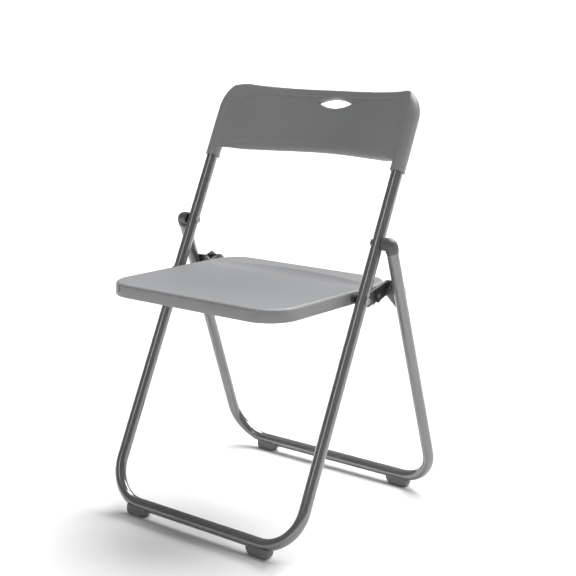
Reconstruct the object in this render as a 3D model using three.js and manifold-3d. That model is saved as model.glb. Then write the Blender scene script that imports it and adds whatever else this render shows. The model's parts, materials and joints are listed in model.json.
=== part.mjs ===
// Folding chair: a bent-tube front frame that carries the backrest, a bent-tube rear frame hung
// on it by two elbow fittings, a moulded seat on pins between the front tubes, and a steel link
// on each side that ties the seat to the rear frame, so that all of it folds together.
//
// Millimetres. +X is the chair's right as seen from the front, +Y points to the rear, +Z is up.
// While it is built, the axis of the front crossbar is the line y = 0, z = 0; the last lines
// stand the chair on z = 0 with the middle of its outer box on the Z axis.

import * as THREE from 'three';
import { mergeVertices } from 'three/addons/utils/BufferGeometryUtils.js';
import Module from 'manifold-3d';

const wasm = await Module();
wasm.setup();

// ---------------------------------------------------------------- driving dimensions

// frames
const TUBE_RADIUS = 11;
const TUBE_WALL = 1.3;
const BEND_RADIUS = 74.4; // to the tube's axis
const FRONT_LEAN = THREE.MathUtils.degToRad(26.43); // front tubes, backwards from upright
const REAR_LEAN = THREE.MathUtils.degToRad(19.03); // rear legs, forwards from upright
const FRONT_HALF_SPAN = 219; // middle of the chair to a front tube's axis
const REAR_HALF_SPAN = 247.2; // middle of the chair to a rear leg's axis
const BASE_DEPTH = 425.8; // front crossbar axis to rear crossbar axis
const TUBE_TOP = 806; // along a front tube, from the crossbar axis to its top end

// fold
const SEAT_PIVOT_HEIGHT = 410; // above the crossbar axis
const FOLD_REAR = THREE.MathUtils.degToRad(42); // rear frame, open to folded
const FOLD_SEAT = THREE.MathUtils.degToRad(115); // seat, open to folded
const LINK_PIVOT_BEHIND_LEG = 25.5; // square to the rear leg
const LINK_PIVOT_UP_LEG = 429; // along the rear leg, from the rear crossbar axis
const LINK_DROP = 30; // how far the seat end of the link sits below the line that would lock it

// seat
const SEAT_WIDTH = 400;
const SEAT_FRONT_REACH = 228; // ahead of the seat pivot
const SEAT_REAR_REACH = 145; // behind the seat pivot
const SEAT_TOP_ABOVE_PIVOT = 14;
const SEAT_SKIRT_HEIGHT = 24;
const SEAT_TOP_THICKNESS = 4;
const SEAT_SKIRT_THICKNESS = 3;
const SEAT_TILT = THREE.MathUtils.degToRad(1.43); // rear edge lower than the front edge
const SEAT_FRONT_CORNER = 60;
const SEAT_REAR_CORNER_X = 52;
const SEAT_REAR_CORNER_Y = 74;
const RIB_THICKNESS = 2.5;
const RIB_DEPTH = 11;
const RIB_PITCH = 80;
const RIBS_LENGTHWISE = [-2, -1, 0, 1, 2]; // places, in pitches from the seat pivot
const RIBS_CROSSWISE = [-2, -1, 0, 1];
const PIN_RECESS = 2; // round a pin's head
const PIVOT_BLOCK_THICKNESS = 12;
const PIVOT_BLOCK_AHEAD = 16;
const PIVOT_BLOCK_BEHIND = 80;

// backrest
const BACK_BOW = 57; // how far the middle sits behind the tubes
const BACK_BOW_POWER = 2.44; // above 2, so the panel is flatter in the middle
const BACK_PANEL_THICKNESS = 7;
const BACK_TOP_MIDDLE = 875; // along the front tubes, from the crossbar axis
const BACK_TOP_DROP = 15; // how much lower the top edge is at the sides
const BACK_BOTTOM_MIDDLE = 746;
const BACK_BOTTOM_DROP = 26;
const BACK_CORNER_X = 58;
const BACK_CORNER_Y = 62;
const SLEEVE_RADIUS = 14;
const SLEEVE_BOTTOM = 701; // along the front tubes
const HANDLE_MIDDLE = 848; // along the front tubes
const HANDLE_HALF_LENGTH = 40;
const HANDLE_HALF_HEIGHT = 10.5;
const BACK_SCREW_UP = 770; // along the front tubes

// fittings
const PIN_RADIUS = 4;
const PIN_HEAD_RADIUS = 7;
const PIN_HEAD_THICKNESS = 1.5;
const SPACER_RADIUS = 7.5;
const WASHER_THICKNESS = 1;
const WASHER_RADIUS = 9.5;
const ELBOW_RADIUS = 12.2;
const ELBOW_LEG_END = 15; // from the main pivot down to where the leg tube ends
const ELBOW_PLUG_LENGTH = 22;
const ELBOW_BORE_DEPTH = 13; // how far the main pivot pin goes into the elbow
const PLATE_THICKNESS = 3; // link
const LINK_HALF_WIDTH = 12.6;
const LINK_COVER_THICKNESS = 3;
const LINK_COVER_START = 21; // from the seat end of the link to the cover's front edge
const LINK_COVER_SCREW = [29, -2]; // along the link and above its middle line
const LINK_TIP_DROP = 16.5; // the cover's pointed tip, below the link's middle line
const BRACKET_THICKNESS = 2.5; // rear bracket
const BRACKET_LEG_CLEARANCE = 11.5; // rear leg's inner face to the bracket's upright plate
const BRACKET_BELOW_PIVOT = 27; // the upright plate
const BRACKET_ABOVE_PIVOT = 16;
const BRACKET_REACH = 27; // behind the link pivot
const WEB_BELOW_PIVOT = 50; // the web against the leg's back
const WEB_POINT = [-10, 2]; // the web's inner corner, from the link pivot's height
const BRACKET_RIVET_INSET = 4; // from the leg's axis towards the middle of the chair
const KNOB_RADIUS = 11;
const KNOB_RIBS = 14;
const KNOB_RIB_HEIGHT = 0.8;
const SEAT_BRACKET_THICKNESS = 2.4;
const SEAT_BRACKET_DROP = 12; // below the link pin
const SEAT_BRACKET_RISE = 14; // above the link pin
const SEAT_BRACKET_START = 15; // behind the seat pivot
const SEAT_BRACKET_END = 75;
const SEAT_BRACKET_CORNER = 5;
const SEAT_BRACKET_SCREW_INSET = [9, 6]; // from the ends and from the top
const SEAT_BRACKET_SCREW_LENGTH = 6;
const SCREW_RADIUS = 2;
const SCREW_HEAD_RADIUS = 4.2;
const SCREW_HEAD_THICKNESS = 1.8;
const BRACKET_RIVETS_UP = [402, 434]; // along the rear leg

// feet
const FOOT_LENGTH = 46;
const FOOT_WIDTH = 25;
const FOOT_TOP = -2; // below the crossbar axis
const FOOT_DROP = 22; // crossbar axis to the floor
const FOOT_CORNER = 8;
const FRONT_FOOT_MIDDLE = 145;
const REAR_FOOT_MIDDLE = 166;

// gaps
const GAP = 0.35; // between pieces that touch
const RUNNING_GAP = 0.4; // round a pin that turns
const SIDE_GAP = 1; // beside a moving plate

// facets
const TUBE_SIDES = 16;
const PIN_SIDES = 12;
const BEND_STEPS = 6;
const CORNER_STEPS = 5;
const MERGE_DISTANCE = 1e-4;

// ---------------------------------------------------------------- places worked out from them

const MAIN_PIVOT_HEIGHT = BASE_DEPTH / (Math.tan(FRONT_LEAN) + Math.tan(REAR_LEAN));
const MAIN_PIVOT_UP_FRONT = MAIN_PIVOT_HEIGHT / Math.cos(FRONT_LEAN);
const MAIN_PIVOT_UP_REAR = MAIN_PIVOT_HEIGHT / Math.cos(REAR_LEAN);
const SEAT_PIVOT_UP_FRONT = SEAT_PIVOT_HEIGHT / Math.cos(FRONT_LEAN);

// side view points, as (y, z)
const mainPivot = new THREE.Vector2(MAIN_PIVOT_HEIGHT * Math.tan(FRONT_LEAN), MAIN_PIVOT_HEIGHT);
const seatPivot = new THREE.Vector2(SEAT_PIVOT_HEIGHT * Math.tan(FRONT_LEAN), SEAT_PIVOT_HEIGHT);
const linkPivot = new THREE.Vector2(
  BASE_DEPTH - LINK_PIVOT_UP_LEG * Math.sin(REAR_LEAN) + LINK_PIVOT_BEHIND_LEG * Math.cos(REAR_LEAN),
  LINK_PIVOT_UP_LEG * Math.cos(REAR_LEAN) + LINK_PIVOT_BEHIND_LEG * Math.sin(REAR_LEAN),
);

// The seat end of the link is as far from the link pivot when the chair is open as when it is
// folded, so it lies on the line midway between the two, both taken in the seat's own frame.
const foldedLinkPivot = linkPivot.clone().rotateAround(mainPivot, -FOLD_REAR);
const foldedInSeat = foldedLinkPivot.clone().rotateAround(seatPivot, FOLD_SEAT);
const halfway = linkPivot.clone().add(foldedInSeat).multiplyScalar(0.5);
const acrossFold = foldedInSeat.clone().sub(linkPivot).normalize();
const drop = new THREE.Vector2(-acrossFold.y, acrossFold.x).multiplyScalar(LINK_DROP);
const linkPin = halfway.clone().add(drop);
const linkLength = linkPin.distanceTo(linkPivot);
const linkRise = Math.atan2(linkPivot.y - linkPin.y, linkPivot.x - linkPin.x);

// layers across the chair, each as its distance from the middle
const SEAT_SIDE = SEAT_WIDTH / 2;
const LINK_INNER = SEAT_SIDE + SIDE_GAP;
const LINK_OUTER = LINK_INNER + PLATE_THICKNESS;
const COVER_INNER = LINK_OUTER + GAP;
const COVER_OUTER = COVER_INNER + LINK_COVER_THICKNESS;
const FRONT_TUBE_INNER = FRONT_HALF_SPAN - TUBE_RADIUS;
const FRONT_TUBE_OUTER = FRONT_HALF_SPAN + TUBE_RADIUS;
const REAR_LEG_INNER = REAR_HALF_SPAN - TUBE_RADIUS;
const BRACKET_OUTER = REAR_LEG_INNER - BRACKET_LEG_CLEARANCE;
const BRACKET_INNER = BRACKET_OUTER - BRACKET_THICKNESS;
const KNOB_INNER = COVER_OUTER + SIDE_GAP;
const ELBOW_INNER = FRONT_TUBE_OUTER + GAP + WASHER_THICKNESS + GAP;

const SIDES = [
  ['left', -1],
  ['right', 1],
];

// ---------------------------------------------------------------- materials

const finish = (color, roughness, metalness) =>
  new THREE.MeshStandardMaterial({ color, roughness, metalness });
const PAINTED_TUBE = finish(0x77777a, 0.35, 0.4);
const GREY_PLASTIC = finish(0x7e7e82, 0.55, 0);
const DARK_PLASTIC = finish(0x39393b, 0.5, 0);
const DARK_STEEL = finish(0x48484b, 0.45, 0.6);
const BRIGHT_STEEL = finish(0x9a9a9c, 0.3, 0.9);

// ---------------------------------------------------------------- solids

// A closed geometry as a solid that can be joined and cut.
function toSolid(geometry) {
  const bare = geometry.clone();
  bare.deleteAttribute('normal');
  bare.deleteAttribute('uv');
  const merged = mergeVertices(bare, MERGE_DISTANCE);
  const index = merged.index.array;
  const triangles = [];
  for (let i = 0; i < index.length; i += 3) {
    const [a, b, c] = [index[i], index[i + 1], index[i + 2]];
    if (a !== b && b !== c && c !== a) triangles.push(a, b, c);
  }
  const vertProperties = new Float32Array(merged.attributes.position.array);
  const mesh = new wasm.Mesh({ numProp: 3, vertProperties, triVerts: new Uint32Array(triangles) });
  return new wasm.Manifold(mesh);
}

function toGeometry(solid) {
  const mesh = solid.getMesh();
  const geometry = new THREE.BufferGeometry();
  geometry.setAttribute('position', new THREE.BufferAttribute(new Float32Array(mesh.vertProperties), 3));
  geometry.setIndex(new THREE.BufferAttribute(new Uint32Array(mesh.triVerts), 1));
  const flat = geometry.toNonIndexed();
  flat.computeVertexNormals();
  return flat;
}

const join = (first, ...others) => others.reduce((sum, next) => sum.add(toSolid(next)), toSolid(first));
const cut = (solid, ...cutters) => cutters.reduce((rest, next) => rest.subtract(toSolid(next)), solid);

// A rod across the chair, from xFrom to xTo, at (y, z).
function rodX(radius, xFrom, xTo, y, z, sides = PIN_SIDES) {
  const rod = new THREE.CylinderGeometry(radius, radius, Math.abs(xTo - xFrom), sides);
  return rod.rotateZ(Math.PI / 2).translate((xFrom + xTo) / 2, y, z);
}

// A rod front to back, from yFrom to yTo, at (x, z).
function rodY(radius, yFrom, yTo, x, z, sides = PIN_SIDES) {
  const rod = new THREE.CylinderGeometry(radius, radius, Math.abs(yTo - yFrom), sides);
  return rod.translate(x, (yFrom + yTo) / 2, z);
}

// An upright rod from zFrom to zTo, at (x, y).
function rodZ(radius, zFrom, zTo, x, y, sides = PIN_SIDES) {
  const rod = new THREE.CylinderGeometry(radius, radius, Math.abs(zTo - zFrom), sides);
  return rod.rotateX(Math.PI / 2).translate(x, y, (zFrom + zTo) / 2);
}

function box(xFrom, xTo, yFrom, yTo, zFrom, zTo) {
  const block = new THREE.BoxGeometry(Math.abs(xTo - xFrom), Math.abs(yTo - yFrom), Math.abs(zTo - zFrom));
  return block.translate((xFrom + xTo) / 2, (yFrom + yTo) / 2, (zFrom + zTo) / 2);
}

function extrude(outline, depth) {
  const settings = { depth, bevelEnabled: false, curveSegments: CORNER_STEPS };
  return new THREE.ExtrudeGeometry(outline, settings);
}

// A side view outline (y, z), made as thick as from xFrom to xTo.
function plateX(outline, xFrom, xTo) {
  const depth = Math.abs(xTo - xFrom);
  const plate = extrude(outline, depth);
  const turn = new THREE.Matrix4().makeBasis(
    new THREE.Vector3(0, 1, 0),
    new THREE.Vector3(0, 0, 1),
    new THREE.Vector3(1, 0, 0),
  );
  return plate.applyMatrix4(turn).translate(Math.min(xFrom, xTo), 0, 0);
}

// A front view outline (x, z), made as thick as from yFrom to yTo.
function plateY(outline, yFrom, yTo) {
  const depth = Math.abs(yTo - yFrom);
  const plate = extrude(outline, depth);
  return plate.rotateX(Math.PI / 2).translate(0, Math.max(yFrom, yTo), 0);
}

// A plan outline (x, y), made as thick as from zFrom to zTo.
function plateZ(outline, zFrom, zTo) {
  const depth = zTo - zFrom;
  const plate = extrude(outline, depth);
  return plate.translate(0, 0, zFrom);
}

// A rectangle with round corners.
function roundedBox2D(left, right, low, high, radius) {
  const shape = new THREE.Shape();
  shape.moveTo(left + radius, low);
  shape.lineTo(right - radius, low);
  shape.absarc(right - radius, low + radius, radius, -Math.PI / 2, 0);
  shape.lineTo(right, high - radius);
  shape.absarc(right - radius, high - radius, radius, 0, Math.PI / 2);
  shape.lineTo(left + radius, high);
  shape.absarc(left + radius, high - radius, radius, Math.PI / 2, Math.PI);
  shape.lineTo(left, low + radius);
  shape.absarc(left + radius, low + radius, radius, Math.PI, Math.PI * 1.5);
  return shape;
}

// The axis of a U-shaped frame in its own XZ plane, with the crossbar on z = 0. It is told as
// stations, close together in the bends and far apart where the tube is straight.
class FramePath extends THREE.Curve {
  constructor(halfSpan, top) {
    super();
    this.stations = [{ point: new THREE.Vector3(-halfSpan, 0, top), tangent: new THREE.Vector3(0, 0, -1) }];
    for (const side of [-1, 1]) {
      for (let step = 0; step <= BEND_STEPS; step += 1) {
        const along = side < 0 ? step : BEND_STEPS - step;
        const turn = (along / BEND_STEPS) * (Math.PI / 2);
        const x = side * (halfSpan - BEND_RADIUS + BEND_RADIUS * Math.cos(turn));
        const z = BEND_RADIUS - BEND_RADIUS * Math.sin(turn);
        const tangent = new THREE.Vector3(Math.sin(turn), 0, side * Math.cos(turn));
        this.stations.push({ point: new THREE.Vector3(x, 0, z), tangent });
      }
    }
    this.stations.push({ point: new THREE.Vector3(halfSpan, 0, top), tangent: new THREE.Vector3(0, 0, 1) });
  }

  at(t, key) {
    const place = t * (this.stations.length - 1);
    const low = Math.min(Math.floor(place), this.stations.length - 2);
    return this.stations[low][key].clone().lerp(this.stations[low + 1][key], place - low);
  }

  getPoint(t) {
    return this.at(t, 'point');
  }

  getPointAt(t) {
    return this.at(t, 'point');
  }

  getTangentAt(t) {
    return this.at(t, 'tangent').normalize();
  }
}

// A frame's tube, or with no inner radius the solid bar that a clip-on foot is hollowed by.
function frameTube(halfSpan, top, outerRadius, innerRadius) {
  const section = new THREE.Shape().absarc(0, 0, outerRadius, 0, Math.PI * 2);
  if (innerRadius) section.holes.push(new THREE.Path().absarc(0, 0, innerRadius, 0, Math.PI * 2));
  const extrudePath = new FramePath(halfSpan, top);
  const steps = extrudePath.stations.length - 1;
  return new THREE.ExtrudeGeometry(section, { extrudePath, steps, curveSegments: TUBE_SIDES });
}

function addMesh(parent, name, shape, material) {
  const geometry = shape.isBufferGeometry ? toGeometry(toSolid(shape)) : toGeometry(shape);
  const mesh = new THREE.Mesh(geometry, material);
  mesh.name = name;
  parent.add(mesh);
}

// ---------------------------------------------------------------- groups

const chair = new THREE.Group();

// Tilted groups: their Z runs up the tubes and their Y is square to the frame, to the rear.
const frontTilt = new THREE.Group();
frontTilt.rotation.x = -FRONT_LEAN;
const rearTilt = new THREE.Group();
rearTilt.position.y = BASE_DEPTH;
rearTilt.rotation.x = REAR_LEAN;

// The seat's group has its origin on the seat pivot and follows the seat's small tilt.
const seatGroup = new THREE.Group();
seatGroup.position.set(0, seatPivot.x, seatPivot.y);
seatGroup.rotation.x = -SEAT_TILT;

// The links' group has its origin on the seat end of the links and its Y along them.
const linkGroup = new THREE.Group();
linkGroup.position.set(0, linkPin.x, linkPin.y);
linkGroup.rotation.x = linkRise;

chair.add(frontTilt, rearTilt, seatGroup, linkGroup);

// ---------------------------------------------------------------- front frame

function buildFrontTube() {
  let tube = toSolid(frameTube(FRONT_HALF_SPAN, TUBE_TOP, TUBE_RADIUS, TUBE_RADIUS - TUBE_WALL));
  for (const [, side] of SIDES) {
    const across = [side * (FRONT_TUBE_INNER - GAP), side * (FRONT_TUBE_OUTER + GAP)];
    const x = side * FRONT_HALF_SPAN;
    const screwHole = rodZ(SCREW_RADIUS + GAP, -FOOT_DROP, 0, side * FRONT_FOOT_MIDDLE, 0);
    tube = cut(
      tube,
      rodX(PIN_RADIUS + GAP, ...across, 0, MAIN_PIVOT_UP_FRONT),
      rodX(PIN_RADIUS + GAP, ...across, 0, SEAT_PIVOT_UP_FRONT),
      rodY(SCREW_RADIUS + GAP, 0, TUBE_RADIUS + GAP, x, BACK_SCREW_UP),
      screwHole.rotateX(FRONT_LEAN),
    );
  }
  addMesh(frontTilt, 'front_tube', tube, PAINTED_TUBE);
}

// How far behind the tubes the backrest's middle surface is.
const backrestBow = (x) => {
  const share = Math.min(1, Math.abs(x) / (FRONT_HALF_SPAN - SLEEVE_RADIUS));
  return BACK_BOW * (1 - share ** BACK_BOW_POWER);
};

function backrestOutline() {
  const half = FRONT_HALF_SPAN + SLEEVE_RADIUS;
  const sleeveInner = FRONT_HALF_SPAN - SLEEVE_RADIUS;
  const edge = (x, middle, drop) => middle - drop * (x / sleeveInner) ** 2;
  const cornerStart = half - BACK_CORNER_X;
  const cornerLow = edge(cornerStart, BACK_TOP_MIDDLE, BACK_TOP_DROP) - BACK_CORNER_Y;
  const shape = new THREE.Shape();
  shape.moveTo(-half, SLEEVE_BOTTOM);
  shape.lineTo(-sleeveInner, SLEEVE_BOTTOM);
  const spans = 16;
  for (let i = 0; i <= spans; i += 1) {
    const x = -sleeveInner + (2 * sleeveInner * i) / spans;
    shape.lineTo(x, edge(x, BACK_BOTTOM_MIDDLE, BACK_BOTTOM_DROP));
  }
  shape.lineTo(sleeveInner, SLEEVE_BOTTOM);
  shape.lineTo(half, SLEEVE_BOTTOM);
  shape.lineTo(half, cornerLow);
  shape.absellipse(cornerStart, cornerLow, BACK_CORNER_X, BACK_CORNER_Y, 0, Math.PI / 2);
  for (let i = 1; i < spans; i += 1) {
    const x = cornerStart - (2 * cornerStart * i) / spans;
    shape.lineTo(x, edge(x, BACK_TOP_MIDDLE, BACK_TOP_DROP));
  }
  shape.absellipse(-cornerStart, cornerLow, BACK_CORNER_X, BACK_CORNER_Y, Math.PI / 2, Math.PI);
  return shape;
}

// The panel from above: a band that bows to the rear.
function backrestBand() {
  const spans = 28;
  const halfThickness = BACK_PANEL_THICKNESS / 2;
  const points = [];
  for (let i = 0; i <= spans; i += 1) {
    const x = -FRONT_HALF_SPAN + (2 * FRONT_HALF_SPAN * i) / spans;
    points.push(new THREE.Vector2(x, backrestBow(x) - halfThickness));
  }
  for (let i = spans; i >= 0; i -= 1) {
    const x = -FRONT_HALF_SPAN + (2 * FRONT_HALF_SPAN * i) / spans;
    points.push(new THREE.Vector2(x, backrestBow(x) + halfThickness));
  }
  return new THREE.Shape(points);
}

// The hand hole: an eye with pointed ends.
function handleOutline() {
  const shape = new THREE.Shape();
  shape.moveTo(-HANDLE_HALF_LENGTH, HANDLE_MIDDLE);
  shape.quadraticCurveTo(0, HANDLE_MIDDLE - 2 * HANDLE_HALF_HEIGHT, HANDLE_HALF_LENGTH, HANDLE_MIDDLE);
  shape.quadraticCurveTo(0, HANDLE_MIDDLE + 2 * HANDLE_HALF_HEIGHT, -HANDLE_HALF_LENGTH, HANDLE_MIDDLE);
  return shape;
}

function buildBackrest() {
  const reach = BACK_BOW + SLEEVE_RADIUS + BACK_PANEL_THICKNESS;
  let panel = join(
    plateZ(backrestBand(), SLEEVE_BOTTOM, BACK_TOP_MIDDLE),
    ...SIDES.map(([, side]) =>
      rodZ(SLEEVE_RADIUS, SLEEVE_BOTTOM, BACK_TOP_MIDDLE, side * FRONT_HALF_SPAN, 0, TUBE_SIDES),
    ),
  );
  panel = panel.intersect(toSolid(plateY(backrestOutline(), -reach, reach)));
  panel = cut(panel, plateY(handleOutline(), 0, reach));
  for (const [, side] of SIDES) {
    const x = side * FRONT_HALF_SPAN;
    const socketRadius = (TUBE_RADIUS + GAP) / Math.cos(Math.PI / TUBE_SIDES);
    panel = cut(
      panel,
      rodZ(socketRadius, SLEEVE_BOTTOM - 1, TUBE_TOP + GAP, x, 0, TUBE_SIDES),
      rodY(SCREW_RADIUS + GAP, 0, SLEEVE_RADIUS + 1, x, BACK_SCREW_UP),
    );
  }
  addMesh(frontTilt, 'backrest', panel, GREY_PLASTIC);
}

function buildBackrestScrews() {
  for (const [name, side] of SIDES) {
    const x = side * FRONT_HALF_SPAN;
    const headStart = SLEEVE_RADIUS + GAP;
    const screw = join(
      rodY(SCREW_HEAD_RADIUS, headStart, headStart + SCREW_HEAD_THICKNESS, x, BACK_SCREW_UP),
      rodY(SCREW_RADIUS, TUBE_RADIUS / 2, headStart + 1, x, BACK_SCREW_UP),
    );
    addMesh(frontTilt, `${name}_backrest_screw`, screw, BRIGHT_STEEL);
  }
}

// The main pins hold the elbows; their heads are on the tubes' inner faces.
function buildMainPivots() {
  for (const [name, side] of SIDES) {
    const z = MAIN_PIVOT_UP_FRONT;
    const headEnd = FRONT_TUBE_INNER - GAP;
    const pin = join(
      rodX(PIN_HEAD_RADIUS, side * (headEnd - PIN_HEAD_THICKNESS), side * headEnd, 0, z),
      rodX(PIN_RADIUS, side * (headEnd - 1), side * (ELBOW_INNER + ELBOW_BORE_DEPTH - 1), 0, z),
    );
    addMesh(frontTilt, `${name}_main_pin`, pin, BRIGHT_STEEL);
    const washerStart = FRONT_TUBE_OUTER + GAP;
    const washer = cut(
      toSolid(rodX(WASHER_RADIUS, side * washerStart, side * (washerStart + WASHER_THICKNESS), 0, z)),
      rodX(PIN_RADIUS + GAP, side * (washerStart - 1), side * (washerStart + WASHER_THICKNESS + 1), 0, z),
    );
    addMesh(frontTilt, `${name}_main_washer`, washer, DARK_PLASTIC);
  }
}

// The seat pins pass through the tubes, a spacer and the seat's side.
function buildSeatPivots() {
  for (const [name, side] of SIDES) {
    const z = SEAT_PIVOT_UP_FRONT;
    const innerHead = SEAT_SIDE - PIVOT_BLOCK_THICKNESS - RUNNING_GAP;
    const outerHead = FRONT_TUBE_OUTER + GAP;
    const pin = join(
      rodX(PIN_HEAD_RADIUS, side * outerHead, side * (outerHead + PIN_HEAD_THICKNESS), 0, z),
      rodX(PIN_HEAD_RADIUS, side * (innerHead - PIN_HEAD_THICKNESS), side * innerHead, 0, z),
      rodX(PIN_RADIUS, side * (innerHead - 1), side * (outerHead + 1), 0, z),
    );
    addMesh(frontTilt, `${name}_seat_pin`, pin, BRIGHT_STEEL);
    const from = side * (SEAT_SIDE + RUNNING_GAP);
    const to = side * (FRONT_TUBE_INNER - GAP);
    const spacer = cut(
      toSolid(rodX(SPACER_RADIUS, from, to, 0, z)),
      rodX(PIN_RADIUS + GAP, from - side, to + side, 0, z),
    );
    addMesh(frontTilt, `${name}_seat_spacer`, spacer, DARK_PLASTIC);
  }
}

// ---------------------------------------------------------------- rear frame

function buildRearTube() {
  const top = MAIN_PIVOT_UP_REAR - ELBOW_LEG_END;
  let tube = toSolid(frameTube(REAR_HALF_SPAN, top, TUBE_RADIUS, TUBE_RADIUS - TUBE_WALL));
  for (const [, side] of SIDES) {
    const x = side * (REAR_HALF_SPAN - BRACKET_RIVET_INSET);
    const screwHole = rodZ(SCREW_RADIUS + GAP, -FOOT_DROP, 0, side * REAR_FOOT_MIDDLE, 0);
    tube = cut(
      tube,
      screwHole.rotateX(-REAR_LEAN),
      ...BRACKET_RIVETS_UP.map((z) => rodY(SCREW_RADIUS + GAP, 0, TUBE_RADIUS + GAP, x, z)),
    );
  }
  addMesh(rearTilt, 'rear_tube', tube, PAINTED_TUBE);
}

// An elbow plugs into the top of a rear leg and turns inwards to the main pin.
function buildElbows() {
  for (const [name, side] of SIDES) {
    const x = side * REAR_HALF_SPAN;
    const legEnd = MAIN_PIVOT_UP_REAR - ELBOW_LEG_END + GAP;
    const plugRadius = TUBE_RADIUS - TUBE_WALL - GAP;
    const corner = new THREE.SphereGeometry(ELBOW_RADIUS, PIN_SIDES, PIN_SIDES / 2);
    const elbow = join(
      corner.rotateX(Math.PI / 2).translate(x, 0, MAIN_PIVOT_UP_REAR),
      rodZ(ELBOW_RADIUS, legEnd, MAIN_PIVOT_UP_REAR, x, 0),
      rodX(ELBOW_RADIUS, side * ELBOW_INNER, x, 0, MAIN_PIVOT_UP_REAR),
      rodZ(plugRadius, legEnd - ELBOW_PLUG_LENGTH, legEnd + 1, x, 0),
    );
    const bore = [side * (ELBOW_INNER - 1), side * (ELBOW_INNER + ELBOW_BORE_DEPTH)];
    const bored = cut(elbow, rodX(PIN_RADIUS + RUNNING_GAP, ...bore, 0, MAIN_PIVOT_UP_REAR));
    addMesh(rearTilt, `${name}_elbow`, bored, DARK_PLASTIC);
  }
}

// A rear bracket is an angle: a web against the back of the leg and an upright plate with the
// link pivot, whose rear corner reaches well behind the leg.
function buildRearBrackets() {
  for (const [name, side] of SIDES) {
    const webFront = TUBE_RADIUS + GAP;
    const rivetX = side * (REAR_HALF_SPAN - BRACKET_RIVET_INSET);
    const y = LINK_PIVOT_BEHIND_LEG;
    const z = LINK_PIVOT_UP_LEG;
    const upright = new THREE.Shape();
    upright.moveTo(webFront, z - BRACKET_BELOW_PIVOT);
    upright.lineTo(y + BRACKET_REACH, z - BRACKET_BELOW_PIVOT);
    upright.lineTo(y + BRACKET_REACH, z - BRACKET_BELOW_PIVOT / 2);
    upright.lineTo(y + BRACKET_REACH / 4, z + BRACKET_ABOVE_PIVOT);
    upright.lineTo(webFront, z + BRACKET_ABOVE_PIVOT);
    const web = new THREE.Shape();
    const webLow = z - WEB_BELOW_PIVOT;
    web.moveTo(side * KNOB_INNER, z + WEB_POINT[0]);
    web.lineTo(side * REAR_LEG_INNER, webLow);
    web.lineTo(side * REAR_HALF_SPAN, webLow);
    web.lineTo(side * REAR_HALF_SPAN, z + BRACKET_ABOVE_PIVOT);
    web.lineTo(side * BRACKET_OUTER, z + BRACKET_ABOVE_PIVOT);
    web.lineTo(side * KNOB_INNER, z + WEB_POINT[1]);
    const bracket = cut(
      join(
        plateX(upright, side * BRACKET_INNER, side * BRACKET_OUTER),
        plateY(web, webFront, webFront + BRACKET_THICKNESS),
      ),
      rodX(PIN_RADIUS + GAP, side * (BRACKET_INNER - 1), side * (BRACKET_OUTER + 1), y, z),
      ...BRACKET_RIVETS_UP.map((up) =>
        rodY(SCREW_RADIUS + GAP, webFront - 1, webFront + BRACKET_THICKNESS + 1, rivetX, up),
      ),
    );
    addMesh(rearTilt, `${name}_rear_bracket`, bracket, DARK_STEEL);
    BRACKET_RIVETS_UP.forEach((up, i) => {
      const headStart = webFront + BRACKET_THICKNESS + GAP;
      const rivet = join(
        rodY(SCREW_HEAD_RADIUS, headStart, headStart + SCREW_HEAD_THICKNESS, rivetX, up),
        rodY(SCREW_RADIUS, TUBE_RADIUS / 2, headStart + 1, rivetX, up),
      );
      addMesh(rearTilt, `${name}_bracket_rivet_${i + 1}`, rivet, BRIGHT_STEEL);
    });
  }
}

// A ribbed spacer knob keeps the link off the bracket, and the link pin goes through both.
function buildLinkPivots() {
  for (const [name, side] of SIDES) {
    const y = LINK_PIVOT_BEHIND_LEG;
    const z = LINK_PIVOT_UP_LEG;
    const points = [];
    for (let i = 0; i < 2 * KNOB_RIBS; i += 1) {
      const turn = (i * Math.PI) / KNOB_RIBS;
      const radius = KNOB_RADIUS - (i % 2) * KNOB_RIB_HEIGHT;
      points.push(new THREE.Vector2(y + radius * Math.cos(turn), z + radius * Math.sin(turn)));
    }
    const knobOuter = BRACKET_INNER - GAP;
    const knob = cut(
      toSolid(plateX(new THREE.Shape(points), side * KNOB_INNER, side * knobOuter)),
      rodX(PIN_RADIUS + GAP, side * (KNOB_INNER - 1), side * (knobOuter + 1), y, z),
    );
    addMesh(rearTilt, `${name}_link_knob`, knob, DARK_PLASTIC);
    const innerHead = LINK_INNER - GAP;
    const outerHead = BRACKET_OUTER + GAP;
    const pin = join(
      rodX(PIN_HEAD_RADIUS, side * (innerHead - PIN_HEAD_THICKNESS), side * innerHead, y, z),
      rodX(PIN_HEAD_RADIUS, side * outerHead, side * (outerHead + PIN_HEAD_THICKNESS), y, z),
      rodX(PIN_RADIUS, side * (innerHead - 1), side * (outerHead + 1), y, z),
    );
    addMesh(rearTilt, `${name}_link_pivot_pin`, pin, BRIGHT_STEEL);
  }
}

// ---------------------------------------------------------------- seat

function seatOutline(inset) {
  const half = SEAT_SIDE - inset;
  const front = inset - SEAT_FRONT_REACH;
  const rear = SEAT_REAR_REACH - inset;
  const corner = SEAT_FRONT_CORNER - inset;
  const rearX = SEAT_REAR_CORNER_X - inset;
  const rearY = SEAT_REAR_CORNER_Y - inset;
  const shape = new THREE.Shape();
  shape.moveTo(-half + corner, front);
  shape.lineTo(half - corner, front);
  shape.absarc(half - corner, front + corner, corner, -Math.PI / 2, 0);
  shape.lineTo(half, rear - rearY);
  shape.absellipse(half - rearX, rear - rearY, rearX, rearY, 0, Math.PI / 2);
  shape.lineTo(-half + rearX, rear);
  shape.absellipse(-half + rearX, rear - rearY, rearX, rearY, Math.PI / 2, Math.PI);
  shape.lineTo(-half, front + corner);
  shape.absarc(-half + corner, front + corner, corner, Math.PI, Math.PI * 1.5);
  return shape;
}

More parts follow.
